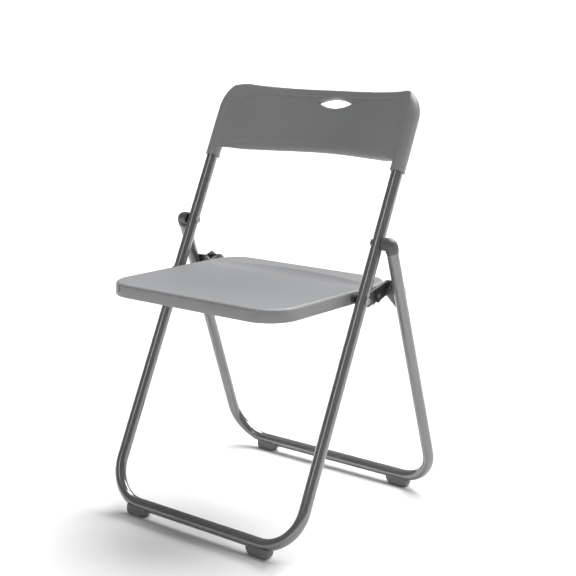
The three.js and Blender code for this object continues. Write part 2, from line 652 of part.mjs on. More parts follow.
// The link pin in the seat's own frame.
const pinInSeat = linkPin.clone().sub(seatPivot).rotateAround(new THREE.Vector2(), SEAT_TILT);
const bracketLow = pinInSeat.y - SEAT_BRACKET_DROP;
const bracketHigh = pinInSeat.y + SEAT_BRACKET_RISE;
const [screwInset, screwDrop] = SEAT_BRACKET_SCREW_INSET;
const bracketScrewsAt = [SEAT_BRACKET_START + screwInset, SEAT_BRACKET_END - screwInset];
const bracketScrewHeight = bracketHigh - screwDrop;

function buildSeat() {
  const top = SEAT_TOP_ABOVE_PIVOT;
  const bottom = top - SEAT_SKIRT_HEIGHT;
  const ceiling = top - SEAT_TOP_THICKNESS;
  const block = SEAT_SIDE - PIVOT_BLOCK_THICKNESS;
  const inside = [];
  const half = RIB_THICKNESS / 2;
  const ribHeight = [ceiling - RIB_DEPTH, ceiling + 1];
  for (const place of RIBS_LENGTHWISE) {
    const x = place * RIB_PITCH;
    inside.push(box(x - half, x + half, -SEAT_FRONT_REACH, SEAT_REAR_REACH, ...ribHeight));
  }
  for (const place of RIBS_CROSSWISE) {
    const y = place * RIB_PITCH;
    inside.push(box(-SEAT_SIDE, SEAT_SIDE, y - half, y + half, ...ribHeight));
  }
  for (const [, side] of SIDES) {
    const blockY = [-PIVOT_BLOCK_AHEAD, PIVOT_BLOCK_BEHIND];
    inside.push(box(side * block, side * SEAT_SIDE, ...blockY, bottom, ceiling + 1));
  }
  const bounds = toSolid(plateZ(seatOutline(SEAT_SKIRT_THICKNESS / 2), bottom, top - 1));
  let shell = cut(
    toSolid(plateZ(seatOutline(0), bottom, top)),
    plateZ(seatOutline(SEAT_SKIRT_THICKNESS), bottom - 1, ceiling),
  ).add(join(...inside).intersect(bounds));
  for (const [, side] of SIDES) {
    const pocket = SEAT_SIDE - SEAT_BRACKET_THICKNESS - GAP;
    const pocketY = [SEAT_BRACKET_START - GAP, SEAT_BRACKET_END + GAP];
    const screwX = [side * (pocket - SEAT_BRACKET_SCREW_LENGTH - 1), side * (pocket + 1)];
    shell = cut(
      shell,
      rodX(PIN_RADIUS + RUNNING_GAP, side * (block - 1), side * (SEAT_SIDE + 1), 0, 0),
      rodX(PIN_HEAD_RADIUS + PIN_RECESS, side * (block - PIVOT_BLOCK_THICKNESS), side * block, 0, 0),
      box(side * pocket, side * (SEAT_SIDE + 1), ...pocketY, bottom - 1, bracketHigh + GAP),
      ...bracketScrewsAt.map((y) => rodX(SCREW_RADIUS + GAP, ...screwX, y, bracketScrewHeight)),
    );
  }
  addMesh(seatGroup, 'seat', shell, GREY_PLASTIC);
}

function buildSeatBrackets() {
  for (const [name, side] of SIDES) {
    const outer = SEAT_SIDE;
    const inner = SEAT_SIDE - SEAT_BRACKET_THICKNESS;
    const reach = [SEAT_BRACKET_START, SEAT_BRACKET_END, bracketLow, bracketHigh];
    const outline = roundedBox2D(...reach, SEAT_BRACKET_CORNER);
    const headSeat = outer - SCREW_HEAD_THICKNESS / 2;
    const screwEnd = inner - SEAT_BRACKET_SCREW_LENGTH;
    const bore = [side * (inner - 1), side * (outer + 1)];
    const counterbore = [side * (headSeat - GAP), side * (outer + 1)];
    const plate = cut(
      toSolid(plateX(outline, side * inner, side * outer)),
      ...bracketScrewsAt.map((y) => rodX(SCREW_RADIUS + GAP, ...bore, y, bracketScrewHeight)),
      ...bracketScrewsAt.map((y) =>
        rodX(SCREW_HEAD_RADIUS + GAP, ...counterbore, y, bracketScrewHeight),
      ),
    );
    addMesh(seatGroup, `${name}_seat_bracket`, plate, DARK_STEEL);
    bracketScrewsAt.forEach((y, i) => {
      const screw = join(
        rodX(SCREW_HEAD_RADIUS, side * headSeat, side * outer, y, bracketScrewHeight),
        rodX(SCREW_RADIUS, side * screwEnd, side * (outer - 0.5), y, bracketScrewHeight),
      );
      addMesh(seatGroup, `${name}_seat_bracket_screw_${i + 1}`, screw, BRIGHT_STEEL);
    });
  }
}

// ---------------------------------------------------------------- links

function buildLinks() {
  for (const [name, side] of SIDES) {
    const half = LINK_HALF_WIDTH;
    const linkX = [side * (LINK_INNER - 1), side * (LINK_OUTER + 1)];
    const coverX = [side * (COVER_INNER - 1), side * (COVER_OUTER + 1)];
    const screwSink = side * (COVER_OUTER - 1);
    const bar = new THREE.Shape();
    bar.absarc(0, 0, half, Math.PI / 2, Math.PI * 1.5);
    bar.absarc(linkLength, 0, half, -Math.PI / 2, Math.PI / 2);
    const link = cut(
      toSolid(plateX(bar, side * LINK_INNER, side * LINK_OUTER)),
      rodX(PIN_RADIUS + RUNNING_GAP, ...linkX, linkLength, 0),
      rodX(PIN_RADIUS + GAP, ...linkX, 0, 0),
      rodX(SCREW_RADIUS + GAP, ...linkX, ...LINK_COVER_SCREW),
    );
    addMesh(linkGroup, `${name}_link`, link, DARK_STEEL);

    const cover = new THREE.Shape();
    cover.moveTo(LINK_COVER_START, half - 1);
    cover.lineTo(LINK_COVER_START + 2, -LINK_TIP_DROP + 4);
    cover.quadraticCurveTo(LINK_COVER_START + 3, -LINK_TIP_DROP, LINK_COVER_START + 8, -LINK_TIP_DROP + 2);
    cover.lineTo(LINK_COVER_START + 22, -half);
    cover.absarc(linkLength, 0, half, -Math.PI / 2, Math.PI / 2);
    const coverPiece = cut(
      toSolid(plateX(cover, side * COVER_INNER, side * COVER_OUTER)),
      rodX(PIN_RADIUS + RUNNING_GAP, ...coverX, linkLength, 0),
      rodX(SCREW_RADIUS + GAP, ...coverX, ...LINK_COVER_SCREW),
      rodX(SCREW_HEAD_RADIUS + GAP, screwSink, coverX[1], ...LINK_COVER_SCREW),
    );
    addMesh(linkGroup, `${name}_link_cover`, coverPiece, DARK_PLASTIC);

    const coverRivet = join(
      rodX(SCREW_HEAD_RADIUS, screwSink + side * GAP, side * (COVER_OUTER + GAP), ...LINK_COVER_SCREW),
      rodX(SCREW_RADIUS, side * LINK_INNER, side * (COVER_OUTER - 0.2), ...LINK_COVER_SCREW),
    );
    addMesh(linkGroup, `${name}_link_cover_rivet`, coverRivet, BRIGHT_STEEL);

    const pinHead = LINK_OUTER + GAP;
    const pin = join(
      rodX(PIN_HEAD_RADIUS, side * pinHead, side * (pinHead + PIN_HEAD_THICKNESS), 0, 0),
      rodX(PIN_RADIUS, side * (SEAT_SIDE + RUNNING_GAP), side * (LINK_OUTER + 1), 0, 0),
    );
    addMesh(linkGroup, `${name}_link_seat_pin`, pin, BRIGHT_STEEL);
  }
}

// ---------------------------------------------------------------- feet

// A foot clips on the crossbar from below and is held by one screw in a counterbore.
function buildFeet(prefix, crossbarY, halfSpan, lean, middle) {
  const grooveRadius = (TUBE_RADIUS + GAP) / Math.cos(Math.PI / TUBE_SIDES);
  const bar = frameTube(halfSpan, 4 * BEND_RADIUS, grooveRadius, 0);
  const groove = toSolid(bar.rotateX(lean).translate(0, crossbarY, 0));
  for (const [name, side] of SIDES) {
    const x = side * middle;
    const ends = [x - FOOT_LENGTH / 2, x + FOOT_LENGTH / 2];
    const outline = roundedBox2D(...ends, -FOOT_DROP, FOOT_TOP + FOOT_CORNER, FOOT_CORNER);
    const shoe = toSolid(plateY(outline, crossbarY - FOOT_WIDTH / 2, crossbarY + FOOT_WIDTH / 2));
    const headLow = -FOOT_DROP + 2;
    const acrossFoot = [crossbarY - FOOT_WIDTH, crossbarY + FOOT_WIDTH];
    const above = box(x - FOOT_LENGTH, x + FOOT_LENGTH, ...acrossFoot, FOOT_TOP, FOOT_DROP);
    const trimmed = cut(shoe, above);
    const foot = cut(
      trimmed.subtract(groove),
      rodZ(SCREW_HEAD_RADIUS + GAP, -FOOT_DROP - 1, headLow + SCREW_HEAD_THICKNESS + GAP, x, crossbarY),
      rodZ(SCREW_RADIUS + GAP, -FOOT_DROP, 0, x, crossbarY),
    );
    addMesh(chair, `${prefix}_${name}_foot`, foot, GREY_PLASTIC);
    const screw = join(
      rodZ(SCREW_HEAD_RADIUS, headLow, headLow + SCREW_HEAD_THICKNESS, x, crossbarY),
      rodZ(SCREW_RADIUS, headLow + 1, -TUBE_RADIUS / 2, x, crossbarY),
    );
    addMesh(chair, `${prefix}_${name}_foot_screw`, screw, BRIGHT_STEEL);
  }
}

// ---------------------------------------------------------------- assembly

buildFrontTube();
buildBackrest();
buildBackrestScrews();
buildMainPivots();
buildSeatPivots();
buildRearTube();
buildElbows();
buildRearBrackets();
buildLinkPivots();
buildSeat();
buildSeatBrackets();
buildLinks();
buildFeet('front', 0, FRONT_HALF_SPAN, -FRONT_LEAN, FRONT_FOOT_MIDDLE);
buildFeet('rear', BASE_DEPTH, REAR_HALF_SPAN, REAR_LEAN, REAR_FOOT_MIDDLE);

const bounds = new THREE.Box3().setFromObject(chair, true);
chair.position.set(0, -(bounds.min.y + bounds.max.y) / 2, -bounds.min.z);

export default chair;
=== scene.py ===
"""The looks of the folding chair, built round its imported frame.

Shapes are told in millimetres in the axes of the frame, seat or link that they belong to, and
turned into metres in the row frame by those axes. Left is the -X side, as in the node names.
"""

import json
import math

import bmesh
import bpy
import numpy as np
from mathutils import Matrix, Vector
from mathutils.geometry import delaunay_2d_cdt


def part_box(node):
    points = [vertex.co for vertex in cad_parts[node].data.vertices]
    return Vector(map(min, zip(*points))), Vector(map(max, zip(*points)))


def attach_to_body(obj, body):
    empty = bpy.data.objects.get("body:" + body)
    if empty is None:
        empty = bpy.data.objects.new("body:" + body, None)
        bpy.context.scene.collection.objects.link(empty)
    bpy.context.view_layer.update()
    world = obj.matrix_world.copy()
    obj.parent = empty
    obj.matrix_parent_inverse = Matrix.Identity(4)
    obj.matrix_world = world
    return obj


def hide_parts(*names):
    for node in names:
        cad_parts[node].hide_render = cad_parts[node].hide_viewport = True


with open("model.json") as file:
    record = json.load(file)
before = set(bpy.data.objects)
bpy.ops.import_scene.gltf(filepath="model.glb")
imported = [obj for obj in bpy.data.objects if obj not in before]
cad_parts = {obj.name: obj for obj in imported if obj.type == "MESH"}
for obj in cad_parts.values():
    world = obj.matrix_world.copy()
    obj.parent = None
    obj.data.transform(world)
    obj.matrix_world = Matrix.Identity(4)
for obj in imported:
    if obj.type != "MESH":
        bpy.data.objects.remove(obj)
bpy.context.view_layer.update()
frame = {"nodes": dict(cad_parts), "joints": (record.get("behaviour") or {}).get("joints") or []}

# ------------------------------------------------------------------ sizes, in millimetres

MM = 0.001
SIDES = (("left", -1), ("right", 1))

TUBE_RADIUS = 11.0
TUBE_WALL = 1.3
BEND_RADIUS = 74.4
PIN_DENT = 0.05  # how much a tube is pressed flat at a pin, as a share
PIN_DENT_LENGTH = 12.0
BEND_FLATTENING = 0.035
TUBE_SPREAD = 0.4  # how much of a pressing comes back as width
GROOVE_DEPTH = 0.45  # the groove rolled round the top of a rear leg
GROOVE_HALF_WIDTH = 0.9

SEAT_TILT = math.radians(1.43)
SEAT_FRONT_CORNER = 60.0
SEAT_REAR_CORNER = (52.0, 74.0)
SEAT_TOP_ROUND = 6.0
SEAT_SKIRT = 3.0
SEAT_FLOOR = 4.0
HOLLOW_DEPTH = 10.5
HOLLOW_HALF_WIDTH = 190.0
HOLLOW_FRONT = 30.0  # behind the seat pivot, at the middle
HOLLOW_REAR = 101.0
HOLLOW_TIP = 64.0
HOLLOW_SLOPE = 0.52  # the rear slope, as a share of the hollow from front to rear
GATE = (100.0, -71.0)  # the moulding gate's dimple
RIB_PITCH = 80.0
RIB_THICKNESS = 2.5
RIB_DEPTH = 11.0
RIBS_LENGTHWISE = (-2, -1, 0, 1, 2)  # in pitches from the seat pivot
RIBS_CROSSWISE = (-2, -1, 0, 1)
RIB_CORNER_GAP = 4.0  # the outer ribs stop short of the round rear corners
RIB_PIN_GAP = 27.0  # the rib in line with the seat pins stops short of them
PIVOT_PAD = (12.0, -16.0, 66.0)  # thickness, from, to
SEAT_RIM = 12.0  # the width of the top that follows the outline
SEAT_MESH = (5.0, 9.0)  # spacing of the points on the top and under it

BACK_BOW = 57.0
BACK_BOW_POWER = 2.44
BACK_THICKNESS = 7.0
BACK_TOP = (875.0, 15.0)  # height at the middle, and how much lower at the tubes
BACK_BOTTOM = (746.0, 26.0)
BACK_CORNER = (58.0, 62.0)
SLEEVE_RADIUS = 14.0
SLEEVE_BOTTOM = 701.0
SLEEVE_RIM = (0.8, 5.0)  # how proud, how tall
LIP_HEIGHT = 13.0
LIP_SETBACK = 6.5
PANEL_STEP = 1.5  # the panel's face is moulded this much below its border
PANEL_STEP_SIDE = 190.0
PANEL_STEP_TOP = 14.0
PANEL_STEP_CORNER = 40.0
HAND_HOLE = (848.0, 40.0, 10.5)  # height, half length, half height
HAND_HOLE_COLLAR = (8.0, 2.2)  # how far it stands out behind the panel, and its thickness

PIN_RADIUS = 4.0
ELBOW_RADIUS = 12.2
ELBOW_BEND = 5.0
GROOVE_DROP = 8.0  # below the top of a rear leg
SCREW_RADIUS = 2.0
SCREW_HEAD_RADIUS = 4.2
SCREW_CROSS = (2.3, 0.45)  # half the length and half the width of each slot
PLAY = 0.35  # between pieces that touch
TIGHT_PLAY = 0.3  # round a pin or screw that stays still
RUNNING_PLAY = 0.4  # round a pin that turns
BRACKET_THICKNESS = 2.5
BRACKET_LEG_CLEARANCE = 11.5
BRACKET_BELOW_PIVOT = 27.0
BRACKET_ABOVE_PIVOT = 16.0
BRACKET_REACH = 27.0  # behind the link pivot
WEB_BELOW_PIVOT = 50.0  # the web against the leg's back
WEB_POINT = (-10.0, 2.0)  # the web's inner corner, from the link pivot's height
SEAT_BRACKET_CORNER = 5.0
LINK_HALF_WIDTH = 12.6
FOOT_PLAY = 0.25  # round the crossbar
FOOT_SLANT = 9.0  # the inner end
FOOT_ROUND = 6.0  # the outer end
KNOB_RADIUS = 11.0
KNOB_RIBS = 14
KNOB_RIB_HEIGHT = 0.9
KNOB_RIB_SQUARE = 2.2  # the higher, the squarer each rib


# The studio, in metres.
FLOOR_SIZE = 60.0
LIT_POINT = Vector((0, 0, 0.4))
CAMERA_PLACE = (1.3374, -1.7029, 0.9192)
CAMERA_ANGLES = (math.radians(37.097), math.radians(12.902))  # round from the front, and up
CAMERA_LENS = 73.56


# ------------------------------------------------------------------ places, from the frame


def middle(node):
    low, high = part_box(node)
    return (low + high) / 2


def joint_place(name):
    return Vector(next(j for j in frame["joints"] if j["name"] == name)["pos_m"])


def axes(place, turn):
    """Axes in millimetres at a place in the row frame, turned about X."""
    return Matrix.Translation(place) @ Matrix.Rotation(turn, 4, "X") @ Matrix.Scale(MM, 4)


main_pivot = joint_place("rear_fold")
seat_pivot = joint_place("seat_fold")
link_pivot = joint_place("right_link_turn")
link_pin = middle("right_link_seat_pin")
bar_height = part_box("front_tube")[0].z + TUBE_RADIUS * MM
front_bar = Vector((0, middle("front_left_foot").y, bar_height))
rear_bar = Vector((0, middle("rear_left_foot").y, bar_height))

front_lean = math.atan2(main_pivot.y - front_bar.y, main_pivot.z - front_bar.z)
rear_lean = math.atan2(rear_bar.y - main_pivot.y, main_pivot.z - rear_bar.z)
front_axes = axes(front_bar, -front_lean)
rear_axes = axes(rear_bar, rear_lean)
seat_axes = axes(Vector((0, seat_pivot.y, seat_pivot.z)), -SEAT_TILT)
link_rise = math.atan2(link_pivot.z - link_pin.z, link_pivot.y - link_pin.y)
link_axes = axes(Vector((0, link_pin.y, link_pin.z)), link_rise)

FRONT_HALF_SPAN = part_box("front_tube")[1].x / MM - TUBE_RADIUS
REAR_HALF_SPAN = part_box("rear_tube")[1].x / MM - TUBE_RADIUS
MAIN_UP_FRONT = (main_pivot - front_bar).yz.length / MM
MAIN_UP_REAR = (main_pivot - rear_bar).yz.length / MM
SEAT_UP_FRONT = (seat_pivot - front_bar).yz.length / MM
LINK_LENGTH = (link_pivot - link_pin).yz.length / MM


def reach(node, axes_used):
    """Lowest and highest corner of a CAD node, measured along the given axes."""
    turn_back = axes_used.inverted()
    points = [turn_back @ v.co for v in frame["nodes"][node].data.vertices]
    low = Vector(min(p[k] for p in points) for k in range(3))
    high = Vector(max(p[k] for p in points) for k in range(3))
    return low, high


# ------------------------------------------------------------------ shader building


class Socket:
    """A value in a node tree. Arithmetic on it adds Math nodes."""

    def __init__(self, tree, socket):
        self.tree = tree
        self.socket = socket

    def math(self, operation, first, second=None):
        node = self.tree.nodes.new("ShaderNodeMath")
        node.operation = operation
        for slot, value in zip(node.inputs, (first, second)):
            if isinstance(value, Socket):
                self.tree.links.new(value.socket, slot)
            elif value is not None:
                slot.default_value = value
        return Socket(self.tree, node.outputs[0])

    def __add__(self, other):
        return self.math("ADD", self, other)

    def __radd__(self, other):
        return self.math("ADD", other, self)

    def __sub__(self, other):
        return self.math("SUBTRACT", self, other)

    def __rsub__(self, other):
        return self.math("SUBTRACT", other, self)

    def __mul__(self, other):
        return self.math("MULTIPLY", self, other)

    def __rmul__(self, other):
        return self.math("MULTIPLY", other, self)

    def __pow__(self, other):
        return self.math("POWER", self, other)

    def between(self, low, high):
        """0 below low, 1 above high, and a straight climb between them."""
        return self.math("MINIMUM", self.math("MAXIMUM", (self - low) * (1 / (high - low)), 0.0), 1.0)


class Finish:
    """A material, or the world, under construction."""

    def __init__(self, owner):
        owner.use_nodes = True
        self.owner = owner
        self.tree = owner.node_tree
        self.tree.nodes.clear()

    def node(self, kind, settings=None, sockets=None, output=0):
        """One node: its settings first, then its sockets, by name or number."""
        node = self.tree.nodes.new(kind)
        for name, value in (settings or {}).items():
            setattr(node, name, value)
        for name, value in (sockets or {}).items():
            if isinstance(value, Socket):
                self.tree.links.new(value.socket, node.inputs[name])
            else:
                node.inputs[name].default_value = value
        return Socket(self.tree, node.outputs[output]) if node.outputs else None

    def place(self):
        return self.node("ShaderNodeTexCoord", output="Object")

    def noise(self, scale, detail=2.0, roughness=0.5, stretch=None):
        place = self.place()
        if stretch:
            settings = {"operation": "MULTIPLY"}
            place = self.node("ShaderNodeVectorMath", settings, {0: place, 1: stretch})
        sockets = {"Vector": place, "Scale": scale, "Detail": detail, "Roughness": roughness}
        return self.node("ShaderNodeTexNoise", {"noise_dimensions": "3D"}, sockets, "Fac")

    def cells(self, scale):
        sockets = {"Vector": self.place(), "Scale": scale}
        settings = {"feature": "SMOOTH_F1"}
        return self.node("ShaderNodeTexVoronoi", settings, sockets, "Distance")

    def blend(self, share, first, second):
        """A colour between two colours."""
        settings = {"data_type": "RGBA"}
        return self.node("ShaderNodeMix", settings, {0: share, 6: first, 7: second}, 2)

    def bump(self, height, strength, distance):
        sockets = {"Height": height, "Strength": strength, "Distance": distance}
        return self.node("ShaderNodeBump", None, sockets, "Normal")

    def surface(self, **sockets):
        names = {name.replace("_", " ").title(): value for name, value in sockets.items()}
        names = {name.replace("Ior", "IOR"): value for name, value in names.items()}
        shader = self.node("ShaderNodeBsdfPrincipled", None, names, "BSDF")
        self.node("ShaderNodeOutputMaterial", None, {"Surface": shader})
        return self.owner


def grey(level, tint=0.0):
    """A linear grey, a little blue when tint is above 0."""
    return (level * (1 - tint), level, level * (1 + 1.6 * tint), 1.0)


# ------------------------------------------------------------------ materials


def tube_paint():
    """Stoved grey paint on steel tube: glossy, with a faint orange peel and light handling marks."""
    paint = Finish(bpy.data.materials.new("stoved_grey_paint"))
    cloud = paint.noise(9.0, 3.0)
    peel = paint.noise(420.0, 2.0)
    marks = paint.noise(90.0, 5.0, 0.7, (1.0, 1.0, 0.1)).between(0.66, 0.8)
    colour = paint.blend(cloud.between(0.3, 0.7), grey(0.185, 0.012), grey(0.205, 0.012))
    colour = paint.blend(marks * 0.12, colour, grey(0.25, 0.01))
    roughness = 0.13 + cloud * 0.04 + marks * 0.06
    return paint.surface(
        base_color=colour,
        roughness=roughness,
        metallic=0.45,
        coat_weight=0.6,
        coat_roughness=0.08,
        normal=paint.bump(peel, 0.08, 0.00003),
    )


def moulded_plastic(name, level, grain=900.0, gloss=0.46):
    """Grey moulded plastic: fine leathery tool grain, faint flow clouds and rubbed edges."""
    plastic = Finish(bpy.data.materials.new(name))
    flow = plastic.noise(5.0, 4.0, 0.55)
    speck = plastic.noise(340.0, 2.0)
    pebble = plastic.cells(grain)
    fine = plastic.noise(grain * 1.9, 2.0)
    worn = plastic.node("ShaderNodeAttribute", {"attribute_name": "edge_wear"}, None, "Fac")
    scuff = worn * plastic.noise(140.0, 5.0, 0.7).between(0.38, 0.62)
    share = flow * 0.7 + speck * 0.3
    colour = plastic.blend(share.between(0.3, 0.7), grey(level * 0.95, 0.012), grey(level * 1.05, 0.012))
    colour = plastic.blend(scuff * 0.5, colour, grey(level * 1.35, 0.01))
    return plastic.surface(
        base_color=colour,
        roughness=gloss + flow * 0.08 - scuff * 0.1,
        specular_ior_level=0.45,
        normal=plastic.bump(pebble * 0.7 + fine * 0.3, 0.35, 0.00009),
    )


def dark_plastic(name, level):
    """Near black moulded plastic with a satin skin and dusty high spots."""
    plastic = Finish(bpy.data.materials.new(name))
    dust = plastic.noise(60.0, 5.0, 0.65).between(0.45, 0.75)
    grain = plastic.noise(1500.0, 2.0)
    colour = plastic.blend(dust, grey(level), grey(level * 1.5))
    return plastic.surface(
        base_color=colour,
        roughness=0.42 + dust * 0.16,
        specular_ior_level=0.45,
        normal=plastic.bump(grain, 0.25, 0.00006),
    )


def plated_steel(name, level, gloss, metallic):
    """Pressed or turned steel, with fine rolling lines and cloudy plating."""
    steel = Finish(bpy.data.materials.new(name))
    cloud = steel.noise(70.0, 4.0)
    lines = steel.noise(700.0, 3.0, 0.6, (1.0, 0.12, 1.0))
    colour = steel.blend(cloud.between(0.3, 0.7), grey(level * 0.85, 0.01), grey(level * 1.15, 0.01))
    return steel.surface(
        base_color=colour,
        roughness=gloss + cloud * 0.12 + lines * 0.06,
        metallic=metallic,
        normal=steel.bump(lines, 0.2, 0.00005),
    )


PAINT = tube_paint()
SEAT_PLASTIC = moulded_plastic("grey_moulded_plastic", 0.208)
FOOT_PLASTIC = moulded_plastic("grey_foot_plastic", 0.15, 1400.0, 0.5)
ELBOW_PLASTIC = moulded_plastic("grey_elbow_plastic", 0.085, 1600.0, 0.36)
BLACK_PLASTIC = dark_plastic("black_moulded_plastic", 0.028)
DARK_STEEL = plated_steel("dark_pressed_steel", 0.13, 0.34, 0.7)
BRIGHT_STEEL = plated_steel("zinc_plated_steel", 0.3, 0.3, 0.85)


# ------------------------------------------------------------------ mesh building


def shade(piece, angle=32):
    """Smooth faces, with a sharp edge wherever the surface turns by more than the angle."""
    piece.data.shade_smooth()
    piece.data.set_sharp_from_angle(angle=math.radians(angle))


def new_piece(name, points, faces, axes_used, material, angle=32):
    mesh = bpy.data.meshes.new(name)
    mesh.from_pydata([axes_used @ Vector(p) for p in points], [], faces)
    tidy = bmesh.new()
    tidy.from_mesh(mesh)
    bmesh.ops.remove_doubles(tidy, verts=tidy.verts, dist=2e-6)
    bmesh.ops.recalc_face_normals(tidy, faces=tidy.faces)
    tidy.to_mesh(mesh)
    tidy.free()
    piece = bpy.data.objects.new(name, mesh)
    bpy.context.scene.collection.objects.link(piece)
    mesh.materials.append(material)
    shade(piece, angle)
    return piece


def settle(piece, body, slot, *nodes):
    """The piece rides on its body and stands for its CAD nodes, which it hides. slot is not used."""
    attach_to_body(piece, body)
    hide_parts(*nodes)
    return piece


def bake_modifiers(piece):
    """The piece's mesh as its modifiers leave it."""
    graph = bpy.context.evaluated_depsgraph_get()
    mesh = bpy.data.meshes.new_from_object(piece.evaluated_get(graph))
    piece.modifiers.clear()
    piece.data = mesh


def carve(piece, operation, other, angle=32):
    """Joins another closed mesh to the piece, or cuts it away, and drops the other."""
    modifier = piece.modifiers.new("carve", "BOOLEAN")
    modifier.operation = operation
    modifier.solver = "EXACT"
    modifier.object = other
    bake_modifiers(piece)
    bpy.data.objects.remove(other)
    shade(piece, angle)


def attach(piece, other, angle=32):
    """Adds a shell whose foot is sunk in the piece."""
    both = bmesh.new()
    both.from_mesh(piece.data)
    both.from_mesh(other.data)
    both.to_mesh(piece.data)
    both.free()
    bpy.data.objects.remove(other)
    shade(piece, angle)


def soften(piece, width, segments=3, angle=32):
    """Rounds the piece's edges."""
    modifier = piece.modifiers.new("soften", "BEVEL")
    modifier.width = width * MM
    modifier.segments = segments
    modifier.limit_method = "ANGLE"
    modifier.angle_limit = math.radians(angle)
    modifier.use_clamp_overlap = True
    bake_modifiers(piece)
    shade(piece, angle)


def block(points, faces, corners):
    """Adds a box from its low to its high corner to a list of points and faces."""
    start = len(points)
    for x in corners[0]:
        for y in corners[1]:
            for z in corners[2]:
                points.append((x, y, z))
    for face in ((0, 1, 3, 2), (4, 6, 7, 5), (0, 4, 5, 1), (2, 3, 7, 6), (0, 2, 6, 4), (1, 5, 7, 3)):
        faces.append([start + k for k in face])


def turned(name, profile, side, place, axes_used, material, steps=40, along="x"):
    """A turned piece across the chair. The profile is (distance along, radius), end to end."""
    points, faces = [], []
    for run, radius in profile:
        for k in range(steps):
            turn = 2 * math.pi * k / steps
            c, s = radius * math.cos(turn), radius * math.sin(turn)
            if along == "x":
                points.append((side * run, place[0] + c, place[1] + s))
            elif along == "y":
                points.append((place[0] + c, run, place[1] + s))
            else:
                points.append((place[0] + c, place[1] + s, run))
    for i in range(len(profile) - 1):
        for k in range(steps):
            a, b = i * steps + k, i * steps + (k + 1) % steps
            faces.append((a, b, b + steps, a + steps))
    return new_piece(name, points, faces, axes_used, material, 40)


def drill(start, end, radius):
    """The profile of a plain round cutter."""
    return [(start, 0.0), (start, radius), (end, radius), (end, 0.0)]


def dome(base, top, radius):
    """A domed head's profile, from its flat face to its middle."""
    rise = top - base
    run = [(base, radius * 0.96), (base + rise * 0.12, radius), (base + rise * 0.45, radius)]
    for degrees in (25, 45, 60, 75, 90):
        turn = math.radians(degrees)
        run.append((base + rise * (0.45 + 0.55 * math.sin(turn)), radius * math.cos(turn) ** 0.6))
    return run[:-1] + [(top, 0.0)]


def arc(centre, radii, start, end, steps):
    """Points on an ellipse, from one angle in degrees to another."""
    turns = [math.radians(start + (end - start) * k / steps) for k in range(steps + 1)]
    return [(centre[0] + radii[0] * math.cos(t), centre[1] + radii[1] * math.sin(t)) for t in turns]


def line(start, end, steps):
    """Points between two points, without the points themselves."""
    shares = [k / steps for k in range(1, steps)]
    return [(start[0] + (end[0] - start[0]) * t, start[1] + (end[1] - start[1]) * t) for t in shares]


def inward(loop, distance):
    """A loop moved towards the material on its left."""
    before, after = np.roll(loop, 1, 0), np.roll(loop, -1, 0)
    first = loop - before
    second = after - loop
    first /= np.linalg.norm(first, axis=1)[:, None]
    second /= np.linalg.norm(second, axis=1)[:, None]
    normal = np.stack([-first[:, 1] - second[:, 1], first[:, 0] + second[:, 0]], 1)
    normal /= np.linalg.norm(normal, axis=1)[:, None]
    lean = np.clip((normal * np.stack([-first[:, 1], first[:, 0]], 1)).sum(1), 0.3, 1)
    return loop + normal * (distance / lean)[:, None]


def distance_to(points, loops):
    """Distance from each point to the nearest of some closed loops."""
    best = np.full(len(points), 1e9)
    for loop in loops:
        start, step = loop, np.roll(loop, -1, 0) - loop
        length = np.maximum((step**2).sum(1), 1e-12)
        for k in range(len(loop)):
            share = np.clip(((points - start[k]) @ step[k]) / length[k], 0, 1)
            gap = points - start[k] - share[:, None] * step[k]
            best = np.minimum(best, np.hypot(gap[:, 0], gap[:, 1]))
    return best


def inside(points, loop):
    """Which points are inside a closed loop."""
    x, y = points[:, 0], points[:, 1]
    found = np.zeros(len(points), bool)
    for (x0, y0), (x1, y1) in zip(loop, np.roll(loop, -1, 0)):
        crosses = (y0 > y) != (y1 > y)
        if y0 != y1:
            found ^= crosses & (x < (x1 - x0) * (y - y0) / (y1 - y0) + x0)
    return found


def fill(outer, holes, guides, spacing, clear=None):
    """Triangles over the area between an outer loop and its holes. Guides are points that the
    mesh has to pass through, and the rest is an even grid."""
    clear = clear or spacing * 0.55
    low, high = outer.min(0), outer.max(0)
    columns = np.arange(low[0] + spacing / 2, high[0], spacing)
    rows = np.arange(low[1] + spacing / 2, high[1], spacing * 0.87)
    grid = np.array([(x + (j % 2) * spacing / 2, y) for j, y in enumerate(rows) for x in columns])
    guide = np.concatenate(guides) if guides else np.zeros((0, 2))
    rims = [outer, *holes]

    def in_material(points):
        keep = inside(points, outer)
        for hole in holes:
            keep &= ~inside(points, hole)
        return keep

    if len(guide):
        guide = guide[in_material(guide) & (distance_to(guide, rims) > clear * 0.4)]
        gap = np.array([np.min(np.hypot(*(guide - p).T)) for p in grid])
        grid = grid[gap > clear]
    grid = grid[in_material(grid) & (distance_to(grid, rims) > clear)]
    points, edges = [], []
    for loop in rims:
        start = len(points)
        points += [Vector(p) for p in loop]
        edges += [(start + k, start + (k + 1) % len(loop)) for k in range(len(loop))]
    points += [Vector(p) for p in guide] + [Vector(p) for p in grid]
    found, _, faces, *_ = delaunay_2d_cdt(points, edges, [], 0, 1e-5)
    found = np.array([tuple(p) for p in found])
    centres = np.array([found[list(f)].mean(0) for f in faces])
    keep = in_material(centres)
    return found, [list(f) for f, k in zip(faces, keep) if k]


def smooth_step(value, low, high):
    t = np.clip((value - low) / (high - low), 0, 1)
    return t * t * (3 - 2 * t)


